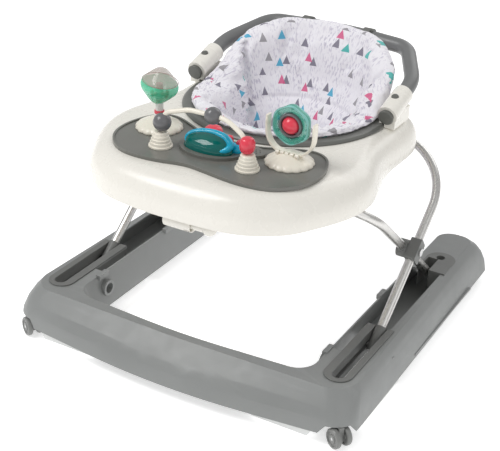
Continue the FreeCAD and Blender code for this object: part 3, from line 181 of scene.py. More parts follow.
def printed_cotton(name):
    """White cotton with faint upright brush marks and small scattered triangles, woven fine."""
    material = bpy.data.materials.new(name)
    tree = Tree(material)
    across = tree.add("ShaderNodeAttribute", attribute_name="cloth_across").outputs["Fac"]
    up = tree.add("ShaderNodeAttribute", attribute_name="cloth_up").outputs["Fac"]

    def chart(scale_across, scale_up, shift=0.0):
        return tree.add("ShaderNodeCombineXYZ", {0: tree.math("MULTIPLY_ADD", across, scale_across),
                                                 1: tree.math("MULTIPLY", up, scale_up), 2: shift})

    marks = tree.noise(1.0, 2.0, chart(300.0, 105.0).outputs[0])
    patches = tree.noise(1.0, 2.0, chart(34.0, 16.0, 7.0).outputs[0])
    faint = tree.math("MULTIPLY", tree.spread(marks, 0.50, 0.62, 0.0, 1.0),
                      tree.spread(patches, 0.38, 0.62, 0.15, 1.0))
    tone = tree.mix(tree.math("MULTIPLY", faint, 0.95), PRINT_GROUND, PRINT_MARK)
    for number, (cell, size, colours) in enumerate(PRINT_LAYERS):
        tone = triangles(tree, tone, across, up, cell, size, colours, 11.0 * number + 3.0)
    threads = []
    for direction in ("X", "Y"):
        inputs = {"Vector": chart(1.0, 1.0).outputs[0], "Scale": 420.0, "Distortion": 0.6}
        threads.append(tree.add("ShaderNodeTexWave", inputs, bands_direction=direction).outputs[1])
    cloth = tree.math("MAXIMUM", *threads)
    bump = tree.bump(cloth, 0.00012, 0.6)
    rough = tree.spread(tree.noise(25.0), 0.3, 0.7, 0.80, 0.92)
    tree.surface(Base_Color=tone, Roughness=rough, Normal=bump, Sheen_Weight=0.25, Sheen_Roughness=0.5,
                 Specular_IOR_Level=0.25)
    return material


PRINT_GROUND = rgb(238, 236, 241)
PRINT_MARK = rgb(198, 193, 208)
# cell size and triangle size in metres, then the colours drawn in that layer
PRINT_LAYERS = (
    ((0.044, 0.041), (0.0074, 0.0165), (rgb(122, 118, 134), rgb(150, 147, 152))),
    ((0.056, 0.049), (0.0078, 0.0170), (rgb(214, 92, 138), rgb(64, 170, 206))),
    ((0.070, 0.057), (0.0074, 0.0160), (rgb(66, 182, 176), rgb(122, 118, 134))),
)


def triangles(tree, ground, across, up, cell, size, colours, seed):
    """One layer of scattered upright triangles: one to a cell, moved about, some cells left empty."""
    column = tree.math("FLOOR", tree.math("DIVIDE", across, cell[0]))
    row = tree.math("FLOOR", tree.math("DIVIDE", up, cell[1]))
    key = tree.add("ShaderNodeCombineXYZ", {0: column, 1: row, 2: seed})
    chance = tree.add("ShaderNodeTexWhiteNoise", {"Vector": key}, noise_dimensions="3D")
    draws = tree.add("ShaderNodeSeparateColor", {0: chance.outputs["Color"]})
    place_x = tree.math("MULTIPLY_ADD", draws.outputs[0], 0.56)
    tree.link(place_x.node, 2, 0.22)
    place_y = tree.math("MULTIPLY_ADD", draws.outputs[1], 0.42)
    tree.link(place_y.node, 2, 0.08)
    part_x = tree.math("SUBTRACT", tree.math("DIVIDE", across, cell[0]), column)
    x = tree.math("MULTIPLY", tree.math("SUBTRACT", part_x, place_x), cell[0])
    part_y = tree.math("SUBTRACT", tree.math("DIVIDE", up, cell[1]), row)
    y = tree.math("MULTIPLY", tree.math("SUBTRACT", part_y, place_y), cell[1])
    width = tree.math("MULTIPLY", tree.math("SUBTRACT", 1.0, tree.math("DIVIDE", y, size[1])), size[0])
    inside = tree.math("LESS_THAN", tree.math("ABSOLUTE", x), width)
    inside = tree.math("MULTIPLY", inside, tree.math("GREATER_THAN", y, 0.0))
    inside = tree.math("MULTIPLY", inside, tree.math("LESS_THAN", chance.outputs[0], 0.62))
    pick = tree.math("GREATER_THAN", draws.outputs[2], 0.5)
    ink = tree.mix(pick, colours[0], colours[1])
    return tree.mix(tree.math("MULTIPLY", inside, 0.92), ground, ink)


BASE_GREY = rgb(134, 136, 135)
TRIM_GREY = rgb(108, 109, 107)
CREAM = rgb(232, 229, 221)
RING_GREY = rgb(104, 105, 101)
TEAL = rgb(22, 150, 138)

MATERIALS = {
    "base_grey": plastic("base_grey_plastic", BASE_GREY, 0.42, wear_and_highlight=0.25),
    "trim_grey": plastic("trim_grey_plastic", TRIM_GREY, 0.45, wear_and_highlight=0.25),
    "caster_grey": plastic("caster_grey_plastic", rgb(122, 123, 121), 0.4, wear_and_highlight=0.3),
    "pad_white": plastic("pad_white_rubber", rgb(226, 227, 226), 0.62, grain=0.0002, grain_scale=700.0),
    "tube_steel": steel("tube_satin_steel", (0.66, 0.65, 0.63, 1.0), 0.30),
    "pin_steel": steel("pin_bright_steel", (0.60, 0.60, 0.60, 1.0), 0.24),
    "tray_cream": plastic("tray_cream_plastic", CREAM, 0.27, grain=0.00001, mottle=0.006),
    "panel_grey": plastic("panel_grey_plastic", rgb(112, 112, 107), 0.22, grain=0.00003),
    "ring_grey": plastic("ring_grey_plastic", RING_GREY, 0.33, grain=0.00004),
    "handle_grey": plastic("handle_grey_plastic", rgb(112, 113, 113), 0.36, wear_and_highlight=0.2),
    "button_grey": plastic("button_grey_plastic", rgb(97, 98, 94), 0.42),
    "toy_cream": plastic("toy_cream_plastic", rgb(234, 228, 214), 0.25, grain=0.00002, mottle=0.015),
    "toy_teal": clear("toy_teal_clear", TEAL),
    "toy_blue": plastic("toy_blue_plastic", rgb(18, 176, 212), 0.14, grain=0.00001, mottle=0.03),
    "toy_red": plastic("toy_red_plastic", rgb(224, 66, 84), 0.2, grain=0.00001, mottle=0.03),
    "toy_dark": plastic("toy_dark_plastic", rgb(104, 104, 106), 0.2, grain=0.00001, mottle=0.03),
}

EXTRA = {
    "clear_green": film("clear_green_plastic", rgb(18, 196, 146), 0.70),
    "clear_smoke": film("clear_smoke_plastic", rgb(166, 146, 134), 0.50),
    "ring_green": film("ring_green_plastic", rgb(70, 182, 158), 0.55),
    "edge_cyan": film("edge_cyan_plastic", rgb(150, 214, 208), 0.66),
    "clear_teal": film("clear_teal_plastic", rgb(2, 104, 98), 0.88, 0.04),
    "glossy_blue": plastic("glossy_blue_plastic", rgb(22, 178, 214), 0.10, grain=0.00001, mottle=0.04),
    "bead_pink": plastic("bead_pink_plastic", rgb(226, 92, 110), 0.25, grain=0.00001),
    "frosted_white": film("frosted_white_plastic", rgb(236, 236, 232), 0.80, 0.35),
    # pale green: the colour of the painted highlight in the music toy's window
    "pale_green": plastic("pale_green_painted_highlight", rgb(166, 224, 196), 0.25, grain=0.00001),
    "seat_fabric": printed_cotton("seat_printed_cotton"),
}


def dress_frame():
    """Gives every CAD node the material of its slot in the record."""
    for entry in frame["record"]["subparts"]:
        node = frame["nodes"][entry["node"]]
        material = MATERIALS.get(entry["material_slot"])
        if material is None:
            continue
        node.data.materials.clear()
        node.data.materials.append(material)


# ------------------------------------------------------------------ mesh builders

def new_object(name, mesh, material, body=TRAY_BODY, slot=None, replaces=()):
    """Adds a finished piece: material, body and the CAD nodes that it stands for, which are hidden. The slot
    argument is not used.
    """
    piece = bpy.data.objects.new(name, mesh)
    bpy.context.collection.objects.link(piece)
    mesh.materials.clear()
    mesh.materials.append(material)
    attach(piece, body)
    if replaces:
        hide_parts(*replaces)
    return piece


def smooth(mesh, angle=None):
    """Smooth shading, with edges sharper than angle (degrees) kept crisp."""
    mesh.polygons.foreach_set("use_smooth", [True] * len(mesh.polygons))
    if angle is not None:
        mesh.set_sharp_from_angle(angle=math.radians(angle))
    return mesh


def make_mesh(name, points, faces, angle=40.0):
    mesh = bpy.data.meshes.new(name)
    mesh.from_pydata([tuple(p) for p in points], [], faces)
    work = bmesh.new()
    work.from_mesh(mesh)
    bmesh.ops.remove_doubles(work, verts=work.verts, dist=1e-6)
    bmesh.ops.recalc_face_normals(work, faces=work.faces)
    work.to_mesh(mesh)
    work.free()
    return smooth(mesh, angle)


def grid_faces(rows, columns, wrap_rows=False, wrap_columns=False):
    """Quads of a grid whose points are stored row after row."""
    faces = []
    for row in range(rows if wrap_rows else rows - 1):
        after = (row + 1) % rows
        for column in range(columns if wrap_columns else columns - 1):
            beside = (column + 1) % columns
            faces.append((row * columns + column, row * columns + beside,
                          after * columns + beside, after * columns + column))
    return faces


def lathe(name, profile, centre, steps=96, ripple=None, angle=40.0):
    """Turns (radius, height) pairs about +Z at centre; ripple(turn, index) scales a radius."""
    points = []
    for index, (radius, height) in enumerate(profile):
        for step in range(steps):
            turn = 2 * math.pi * step / steps
            scale = ripple(turn, index) if ripple else 1.0
            points.append(Vector(centre) + Vector((math.cos(turn) * radius * scale,
                                                   math.sin(turn) * radius * scale, height)))
    return make_mesh(name, points, grid_faces(len(profile), steps, wrap_columns=True), angle)


def rounded(profile, radius=0.0015, steps=4):
    """A (radius, height) profile with its inner corners rounded off."""
    result = [profile[0]]
    for before, point, after in zip(profile, profile[1:], profile[2:]):
        before, point, after = Vector(before), Vector(point), Vector(after)
        reach = min(radius, (before - point).length * 0.45, (after - point).length * 0.45)
        start = point + (before - point).normalized() * reach
        end = point + (after - point).normalized() * reach
        for step in range(steps + 1):
            share = step / steps
            result.append(tuple(start.lerp(point, share).lerp(point.lerp(end, share), share)))
    result.append(profile[-1])
    return result


def spline(points, steps, closed=False):
    """Points along a smooth curve through the given ones (centripetal Catmull-Rom)."""
    points = [Vector(p) for p in points]
    count = len(points)
    result = []
    spans = count if closed else count - 1
    for index in range(spans):
        if closed:
            p0, p1, p2, p3 = (points[(index + k) % count] for k in (-1, 0, 1, 2))
        else:
            p1, p2 = points[index], points[index + 1]
            p0 = points[index - 1] if index > 0 else p1 * 2 - p2
            p3 = points[index + 2] if index + 2 < count else p2 * 2 - p1
        t1 = (p1 - p0).length ** 0.5
        t2 = t1 + (p2 - p1).length ** 0.5
        t3 = t2 + (p3 - p2).length ** 0.5
        for step in range(steps):
            t = t1 + (t2 - t1) * step / steps
            a1 = p0 * ((t1 - t) / t1) + p1 * (t / t1)
            a2 = p1 * ((t2 - t) / (t2 - t1)) + p2 * ((t - t1) / (t2 - t1))
            a3 = p2 * ((t3 - t) / (t3 - t2)) + p3 * ((t - t2) / (t3 - t2))
            b1 = a1 * ((t2 - t) / t2) + a2 * (t / t2)
            b2 = a2 * ((t3 - t) / (t3 - t1)) + a3 * ((t - t1) / (t3 - t1))
            result.append(b1 * ((t2 - t) / (t2 - t1)) + b2 * ((t - t1) / (t2 - t1)))
    if not closed:
        result.append(points[-1].copy())
    return result


def sweep(name, path, section, closed=False, upright=None, angle=40.0):
    """Sweeps a closed (across, up) section along path points; upright keeps it from turning."""
    count = len(path)
    points = []
    frame_up = upright or Vector((0, 0, 1))
    for index, point in enumerate(path):
        ahead = path[(index + 1) % count] if closed or index < count - 1 else point
        behind = path[index - 1] if closed or index > 0 else point
        along = (ahead - behind).normalized()
        side = along.cross(frame_up)
        if side.length < 1e-4:
            side = along.orthogonal()
        side.normalize()
        up = side.cross(along).normalized()
        if upright is None:
            frame_up = up
        for across, rise in section:
            points.append(point + side * across + up * rise)
    faces = grid_faces(count, len(section), wrap_rows=closed, wrap_columns=True)
    if not closed:
        faces.append(tuple(range(len(section)))[::-1])
        faces.append(tuple(range((count - 1) * len(section), count * len(section))))
    return make_mesh(name, points, faces, angle)


def circle(radius, steps=20, flatten=1.0):
    return [(radius * math.cos(2 * math.pi * k / steps), radius * flatten * math.sin(2 * math.pi * k / steps))
            for k in range(steps)]


# ------------------------------------------------------------------ moulded shells

RECORD = frame["record"]
BODY_OF = {node: body for body, nodes in RECORD["behaviour"]["bodies"].items() for node in nodes}
SLOT_OF = {entry["node"]: entry["material_slot"] for entry in RECORD["subparts"]}
# pieces that keep their CAD shape, with the radius that their sharp edges are rounded to
MOULDED = {
    "base_shell": 0.0016, "slot_guide_left": 0.0009, "slot_guide_right": 0.0009,
    "rear_bracket_left": 0.0009, "rear_bracket_right": 0.0009, "stopper_pads": 0.0016,
    "rear_axle_brackets": 0.0006, "cross_hubs": 0.0008, "cross_sleeves": 0.0008, "slider_feet": 0.0005,
    "tray_shell": 0.0014, "tray_rails": 0.0008, "rear_bearings": 0.0008, "adjuster_housing": 0.0016,
    "adjuster_lever": 0.0008, "seat_hooks": 0.0007, "seat_ring": 0.0012, "music_plinth": 0.0007,
    "handle_socket_left": 0.0016, "handle_socket_right": 0.0016,
    "release_button_left": 0.0008, "release_button_right": 0.0008,
    "snap_button_left": 0.0008, "snap_button_right": 0.0008,
    "caster_fork_left": 0.0006, "caster_fork_right": 0.0006, "toy_panel": 0.0014,
}


def moulded(node, radius):
    """Stands for a CAD piece: the same shape with its sharp edges rounded and its faces shaded clean."""
    work = bmesh.new()
    work.from_mesh(frame["nodes"][node].data)
    bmesh.ops.remove_doubles(work, verts=work.verts, dist=2e-6)
    bmesh.ops.dissolve_limit(work, angle_limit=math.radians(0.6), verts=work.verts, edges=work.edges)
    work.verts.index_update()
    mesh = bpy.data.meshes.new(node)
    mesh.from_pydata([v.co[:] for v in work.verts], [], [[v.index for v in f.verts] for f in work.faces])
    work.free()
    smooth(mesh)
    blank = bpy.data.objects.new(node + "_blank", mesh)
    bpy.context.collection.objects.link(blank)
    edges = blank.modifiers.new("edges", "BEVEL")
    edges.width = radius
    edges.segments = 2
    edges.limit_method = "ANGLE"
    edges.angle_limit = math.radians(28.0)
    edges.use_clamp_overlap = True
    shading = blank.modifiers.new("shading", "WEIGHTED_NORMAL")
    shading.keep_sharp = True
    apply_modifiers(blank)
    finished = blank.data
    bpy.data.objects.remove(blank)
    slot = SLOT_OF[node]
    return new_object(node + "_moulded", finished, MATERIALS[slot], BODY_OF[node], slot, (node,))


# ------------------------------------------------------------------ the fabric seat

# Height of the fabric's upper edge, by angle in degrees from the rear.
RIM_HEIGHTS = ((0, 0.489), (28, 0.489), (40, 0.484), (50, 0.472), (60, 0.453), (70, 0.428), (80, 0.406),
               (92, 0.3975), (120, 0.3965), (150, 0.3985), (180, 0.4000))
# Inside of the bag below the ring, from the seat's middle outward, as radius and height.
BAG_INNER = ((0.0, 0.2325), (0.040, 0.2335), (0.068, 0.2400), (0.089, 0.2560), (0.103, 0.2850),
             (0.1145, 0.3180), (0.1280, 0.3500), (0.1400, 0.3760))
# Outside of the bag, from under the ring down to the seat's middle.
BAG_OUTER = ((0.1545, 0.3800), (0.1500, 0.3680), (0.1370, 0.3430), (0.1240, 0.3160), (0.1120, 0.2820),
             (0.0960, 0.2480), (0.0660, 0.2290), (0.0, 0.2230))
SEAT_STEPS = 180
VOXEL = 0.005
# the most that the cloth solver may move a point
PUFF_LIMIT = 0.007
# the leg openings: radius, middle of each on the bag's front, direction and length of the cut
LEG_HOLE = 0.040
LEG_APART = 0.042
LEG_FORWARD = 0.030
LEG_HEIGHT = 0.290
LEG_AXIS = (0.42, -0.60, -0.68)
LEG_CUT = 0.16
# how far the stuffed wings and front stand in from the line of the flat back
PLUMP = 0.019
# height of the sewn foot of the padded back
BACK_FOOT = 0.350
# run lengths along a section: where the inside ends, and where the hem lies on the ring
INSIDE_RUN = 0.300
HEM_RUN = 0.262
# places on the printed cloth where the wings' panels start, clear of the back's
WING_START = (3.0, 1.0)


def rim_height(turn):
    """Height of the fabric's upper edge at an angle from the rear, straight between the listed ones."""
    angle = math.degrees(measured_turn(turn))
    for (a0, h0), (a1, h1) in zip(RIM_HEIGHTS, RIM_HEIGHTS[1:]):
        if angle <= a1:
            share = (angle - a0) / (a1 - a0)
            return h0 + (h1 - h0) * share
    return RIM_HEIGHTS[-1][1]


def seat_section(turn):
    """Closed section of the seat at one angle: up the inside, over the edge and down the outside."""
    edge = sum(rim_height(turn + math.radians(d)) for d in (-6, -3, 0, 3, 6)) / 5.0
    tall = max(0.0, min(1.0, (edge - 0.402) / 0.060))
    lean = 0.150 + 0.012 * tall
    middle = 0.384 + (edge - 0.384) * 0.55
    plump = plumpness(turn)
    inner = [(0.1455 - plump, 0.3870), (0.1475 + 0.006 * tall - plump, middle),
             (lean - 0.95 * plump, edge - 0.0085), (lean + 0.004 - 0.75 * plump, edge - 0.0025)]
    crown = [(lean + 0.0085 - 0.40 * plump, edge)]
    outer = [(lean + 0.0150, edge - 0.0025), (lean + 0.0185, edge - 0.0075)]
    foot = 0.1700 - 0.004 * tall
    outer.append((blend(lean + 0.0185, foot, 0.6), blend(edge - 0.0075, 0.3935, 0.6)))
    outer += [(foot, 0.3915), (foot - 0.003, 0.3888), (0.1575, 0.3882)]
    bag = [(r - plump * max(0.0, min(1.0, (z - 0.300) / 0.060)), z) for r, z in BAG_INNER]
    return bag + inner + crown + outer + list(BAG_OUTER)


def plumpness(turn):
    """How far the stuffed wings and front stand in from the line of the flat back."""
    share = max(0.0, min(1.0, (math.degrees(measured_turn(turn)) - 56.0) / 16.0))
    return PLUMP * share * share * (3.0 - 2.0 * share)


def measured_turn(turn):
    """Angle from the rear, the same on both sides."""
    return min(abs(turn), 2 * math.pi - abs(turn))


def blend(low, high, share):
    return low + (high - low) * share


def seat_point(turn, radius, height):
    return Vector((math.sin(turn) * radius, RING_CENTRE.y + math.cos(turn) * radius, height))


def seat_block():
    """The seat before it is stuffed, as a closed mesh with its two leg openings."""
    points = []
    for step in range(SEAT_STEPS):
        turn = 2 * math.pi * step / SEAT_STEPS
        section = spline([Vector((r, 0, z)) for r, z in seat_section(turn)], 3)
        points += [seat_point(turn, max(p.x, 0.0), p.z) for p in section]
    mesh = make_mesh("seat_block", points, grid_faces(SEAT_STEPS, len(section), wrap_rows=True), None)
    block = bpy.data.objects.new("seat_block", mesh)
    bpy.context.collection.objects.link(block)
    for side in (-1, 1):
        start = Vector((side * LEG_APART, RING_CENTRE.y - LEG_FORWARD, LEG_HEIGHT))
        path = [start, start + Vector((side * LEG_AXIS[0], LEG_AXIS[1], LEG_AXIS[2])) * LEG_CUT]
        cutter = bpy.data.objects.new("leg_cutter", sweep("leg_cutter", path, circle(LEG_HOLE, 48)))
        bpy.context.collection.objects.link(cutter)
        opening = block.modifiers.new("leg", "BOOLEAN")
        opening.object = cutter
        opening.operation = "DIFFERENCE"
        apply_modifiers(block)
        bpy.data.objects.remove(cutter)
    return block


def apply_modifiers(piece):
    """Bakes an object's modifiers into its mesh."""
    graph = bpy.context.evaluated_depsgraph_get()
    graph.update()
    mesh = bpy.data.meshes.new_from_object(piece.evaluated_get(graph))
    piece.modifiers.clear()
    old = piece.data
    piece.data = mesh
    bpy.data.meshes.remove(old)


def coordinates(mesh):
    flat = np.empty(len(mesh.vertices) * 3)
    mesh.vertices.foreach_get("co", flat)
    return flat.reshape(-1, 3)


def set_coordinates(mesh, points):
    mesh.vertices.foreach_set("co", np.asarray(points, dtype=float).ravel())
    mesh.update()


def polar(points):
    """Angle from the rear and distance from the seat's middle, for an array of points."""
    x = points[:, 0]
    y = points[:, 1] - RING_CENTRE.y
    return np.arctan2(x, y), np.hypot(x, y)


def seam_turn(height):
    """Angle from the rear of the seams between the back and the wings, by height."""
    return math.radians(60.0) + (0.40 - height) * 0.9


def seat_charts():
    """Sections by angle as (radius, height) lines, for measuring runs of length from the seat's middle."""
    charts = []
    for step in range(SEAT_STEPS):
        turn = 2 * math.pi * step / SEAT_STEPS - math.pi
        line = np.array([(p.x, p.z) for p in spline([Vector((r, 0, z)) for r, z in seat_section(turn)], 3)])
        charts.append(line)
    return np.array(charts)


def along_section(points, charts):
    """For each point, the length along its section from the middle, up the inside and over the edge."""
    turn, radius = polar(points)
    index = np.round((turn + math.pi) / (2 * math.pi) * SEAT_STEPS).astype(int) % SEAT_STEPS
    lengths = np.zeros(charts.shape[:2])
    lengths[:, 1:] = np.cumsum(np.linalg.norm(np.diff(charts, axis=1), axis=2), axis=1)
    result = np.empty(len(points))
    for start in range(0, len(points), 4000):
        part = slice(start, start + 4000)
        lines = charts[index[part]]
        spot = np.stack([radius[part], points[part, 2]], axis=1)[:, None, :]
        a = lines[:, :-1]
        d = lines[:, 1:] - a
        t = np.clip(((spot - a) * d).sum(2) / np.maximum((d * d).sum(2), 1e-12), 0, 1)
        gap = np.linalg.norm(spot - (a + d * t[:, :, None]), axis=2)
        best = gap.argmin(1)
        rows = np.arange(len(best))
        picked = lengths[index[part]]
        result[part] = picked[rows, best] + t[rows, best] * (picked[rows, best + 1] - picked[rows, best])
    return result


def stuff(piece, held):
    """Blows the seat up a little with the cloth solver; held vertices stay where they are."""
    start = coordinates(piece.data)
    group = piece.vertex_groups.new(name="held")
    for index in np.nonzero(held)[0]:
        group.add([int(index)], 1.0, "REPLACE")
    cloth = piece.modifiers.new("cloth", "CLOTH")
    settings = cloth.settings
    settings.quality = 5
    settings.mass = 0.25
    settings.use_pressure = True
    settings.uniform_pressure_force = 4.0
    settings.shrink_min = -0.06
    settings.tension_stiffness = 12.0
    settings.compression_stiffness = 12.0
    settings.shear_stiffness = 4.0
    settings.bending_stiffness = 0.3
    settings.effector_weights.gravity = 0.0
    settings.vertex_group_mass = "held"
    cloth.collision_settings.use_collision = False
    scene = bpy.context.scene
    for number in range(1, 21):
        scene.frame_set(number)
    graph = bpy.context.evaluated_depsgraph_get()
    moved = coordinates(piece.evaluated_get(graph).data)
    piece.modifiers.clear()
    scene.frame_set(1)
    step = moved - start
    length = np.linalg.norm(step, axis=1, keepdims=True)
    share = np.minimum(1.0, PUFF_LIMIT / np.maximum(length, 1e-9))
    set_coordinates(piece.data, start + step * share)
    piece.vertex_groups.clear()


def bell(distance, width):
    return np.exp(-(distance / width) ** 2)


def seams_and_puckers(mesh, charts):
    """Sewn channels, gathered puckers beside them, and the slow creases of loose cotton."""
    points = coordinates(mesh)
    normals = np.empty(len(mesh.vertices) * 3)
    mesh.vertices.foreach_get("normal", normals)
    normals = normals.reshape(-1, 3)
    turn, radius = polar(points)
    run = along_section(points, charts)
    inside = run < INSIDE_RUN
    height = points[:, 2]
    upper = np.clip((height - 0.268) / 0.012, 0, 1) * inside
    # seams between the back and the two wings
    side = (np.abs(turn) - seam_turn(height)) * radius
    shift = -0.0050 * bell(side, 0.0042) * upper
    # the foot of the padded back, with the sling's cloth swelling forward below it
    below = BACK_FOOT - height
    back = np.clip(-side / 0.012, 0, 1) * upper
    shift -= 0.0042 * bell(below, 0.0038) * back
    shift += 0.0075 * bell(below - 0.026, 0.021) * back
    beyond = np.clip(side, 0, None)
    folds = np.sin(height * 2 * math.pi / 0.0165 + 2.2 * np.sin(height * 71.0) + np.sign(turn))
    shift += 0.0034 * folds * np.exp(-beyond / 0.020) * (side > 0.001) * upper
    # gathered hem where the cover turns under, on the ring
    hem = bell(np.abs(run - HEM_RUN), 0.016) * np.clip((np.abs(turn) - 0.9) / 0.5, 0, 1)
    gathers = np.sin(turn * 78.0 + 1.9 * np.sin(turn * 13.0))
    gathers = gathers + 0.5 * np.sin(turn * 131.0 + 2.0 * np.sin(turn * 9.0))
    shift += 0.0013 * gathers * hem
    crease = np.array([noise.noise(Vector(p) * 26.0) + 0.5 * noise.noise(Vector(p) * 61.0) for p in points])
    shift += 0.0016 * crease
    set_coordinates(mesh, points + normals * shift[:, None])


def print_chart(mesh, charts):
    """Stores where each vertex lies on the printed cloth, turned sideways on the wings."""
    points = coordinates(mesh)
    turn, _ = polar(points)
    run = along_section(points, charts)
    around = turn * 0.150
    wing = np.abs(turn) > seam_turn(points[:, 2])
    across = np.where(wing, run + WING_START[0], around)
    up = np.where(wing, around + WING_START[1], run)
    for name, values in (("cloth_across", across), ("cloth_up", up)):
        attribute = mesh.attributes.new(name, "FLOAT", "POINT")
        attribute.data.foreach_set("value", values.astype(np.float32))


def make_seat():
    block = seat_block()
    remesh = block.modifiers.new("even", "REMESH")
    remesh.mode = "VOXEL"
    remesh.voxel_size = VOXEL
    apply_modifiers(block)
    charts = seat_charts()
    points = coordinates(block.data)
    turn, radius = polar(points)
    height = points[:, 2]
    on_ring = (np.abs(height - 0.384) < 0.009) & (radius > 0.1485)
    near_seam = np.abs((np.abs(turn) - seam_turn(height)) * radius) < 0.004
    on_seam = near_seam & (radius < 0.150) & (height > 0.275)
    stuff(block, on_ring | on_seam)
    finer = block.modifiers.new("finer", "SUBSURF")
    finer.levels = 1
    apply_modifiers(block)
    seams_and_puckers(block.data, charts)
    print_chart(block.data, charts)
    mesh = block.data
    bpy.data.objects.remove(block)
    mesh.name = "seat_cover"
    smooth(mesh)
    seat = new_object("seat_cover", mesh, EXTRA["seat_fabric"], slot="seat_fabric",
                      replaces=("seat_sling", "seat_back"))


# ------------------------------------------------------------------ the toys

def centre_of(node):
    low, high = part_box(node)
    return (low + high) / 2


def scallop(lobes, depth, rows):
    """A ripple for lathe(): lobes round the edge, fading out over the first rows."""
    def ripple(turn, index):
        fade = max(0.0, 1.0 - index / rows)
        return 1.0 + depth * fade * (abs(math.cos(lobes * turn / 2.0)) - 0.5)
    return ripple


TOY_DOME = ((0.0388, 0.0), (0.0396, 0.0012), (0.0388, 0.0036), (0.0362, 0.0066), (0.0322, 0.0090),
            (0.0270, 0.0112), (0.0215, 0.0140), (0.0165, 0.0168), (0.0125, 0.0190), (0.0090, 0.0200),
            (0.0, 0.0202))


def toy_dome(name, centre, replaces):
    profile = [(0.0, 0.0)] + list(TOY_DOME)
    mesh = lathe(name, profile, (centre.x, centre.y, PANEL_TOP), 224, scallop(16, 0.055, 8), 60.0)
    return new_object(name, mesh, MATERIALS["toy_cream"], slot="toy_cream", replaces=replaces)


def knobbly(direction):
    """Radius share of the rattle's head: six soft lobes, drawn in between them."""
    spread = sum(abs(c) ** 3.0 for c in direction)
    return 0.83 + 0.17 * (spread - 0.577) / (1.0 - 0.577)


def ball_points(centre, radius, shape=None, rows=33, columns=64, low=-90.0, high=90.0):
    points = []
    for row in range(rows):
        rise = math.radians(low + (high - low) * row / (rows - 1))
        for column in range(columns):
            turn = 2 * math.pi * column / columns
            level = math.cos(rise)
            direction = Vector((level * math.cos(turn), level * math.sin(turn), math.sin(rise)))
            points.append(Vector(centre) + direction * radius * (shape(direction) if shape else 1.0))
    return points, grid_faces(rows, columns, wrap_columns=True)


def ball(name, centre, radius, grid, material, body, slot, replaces=()):
    """A round ball as a finished piece; grid is its rows and columns of points."""
    points, faces = ball_points(centre, radius, None, *grid)
    return new_object(name, make_mesh(name, points, faces, 80.0), material, body, slot, replaces)


# the head's two halves meet at this rise, in degrees, above its own middle
HEAD_SPLIT = 16.0
HEAD_TILT = Matrix.Rotation(math.radians(9.0), 3, "Y") @ Matrix.Rotation(math.radians(20.0), 3, "Z")


def make_rattle():
    base = centre_of("rattle_base")
    toy_dome("rattle_foot", base, ("rattle_base",))
    head = centre_of("rattle_head")
    radius = (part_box("rattle_head")[1].x - head.x)
    for name, key, low, high, replaces in (
            ("rattle_head_lower", "clear_green", -90.0, HEAD_SPLIT, ("rattle_head",)),
            ("rattle_head_upper", "clear_smoke", HEAD_SPLIT, 90.0, ())):
        points, faces = ball_points((0, 0, 0), radius, knobbly, 25, 72, low, high)
        mesh = make_mesh(name, [head + HEAD_TILT @ p for p in points], faces, 70.0)
        new_object(name, mesh, EXTRA[key], "rattle", "toy_teal", replaces)
    # a band where the two halves meet, and the loose beads inside
    ring = [head + HEAD_TILT @ (Vector((math.cos(t), math.sin(t), 0.29)) * radius * 0.935)
            for t in (2 * math.pi * k / 72 for k in range(72))]
    seam = sweep("rattle_seam", ring, circle(0.0007, 8), closed=True)
    new_object("rattle_seam", seam, EXTRA["clear_smoke"], "rattle", "toy_teal")
    for index in range(9):
        turn = index * 2.4
        drop = -0.0165 + 0.0030 * (index % 3)
        place = head + Vector((math.cos(turn) * 0.013, math.sin(turn) * 0.013, drop))
        ball("rattle_bead_%d" % index, place, 0.0034, (9, 16), EXTRA["bead_pink"], "rattle", "toy_red")
    low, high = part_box("rattle_post")
    profile = rounded([(0.0, low.z), (0.0095, low.z), (0.0068, low.z + 0.007), (0.0064, low.z + 0.030),
                       (0.0062, high.z), (0.0056, head.z + 0.004), (0.0, head.z + 0.006)], 0.0012)
    post = lathe("rattle_stem", profile, (base.x, base.y, 0), 40)
    new_object("rattle_stem", post, EXTRA["frosted_white"], slot="toy_cream", replaces=("rattle_post",))
    collar = lathe("rattle_stem_ring", rounded([(0.0066, low.z + 0.006), (0.0088, low.z + 0.006),
                                                (0.0084, low.z + 0.011), (0.0066, low.z + 0.011)], 0.001),
                   (base.x, base.y, 0), 40)
    new_object("rattle_stem_ring", collar, MATERIALS["toy_red"], slot="toy_red")


def lobed_ring(name, centre, inner, outer, lobes, depth, thick, steps=180, section=18):
    """A ring standing square to Y whose outline swells in lobes."""
    points = []
    for step in range(steps):
        turn = 2 * math.pi * step / steps
        reach = outer * (1.0 - depth * (0.5 - 0.5 * math.cos(lobes * turn)))
        middle, half = (inner + reach) / 2.0, (reach - inner) / 2.0
        for k in range(section):
            angle = 2 * math.pi * k / section
            across = math.copysign(abs(math.cos(angle)) ** 0.7, math.cos(angle)) * half
            deep = math.copysign(abs(math.sin(angle)) ** 0.8, math.sin(angle)) * thick / 2.0
            radius = middle + across
            points.append(centre + Vector((math.sin(turn) * radius, deep, math.cos(turn) * radius)))
    return make_mesh(name, points, grid_faces(steps, section, True, True), 50.0)


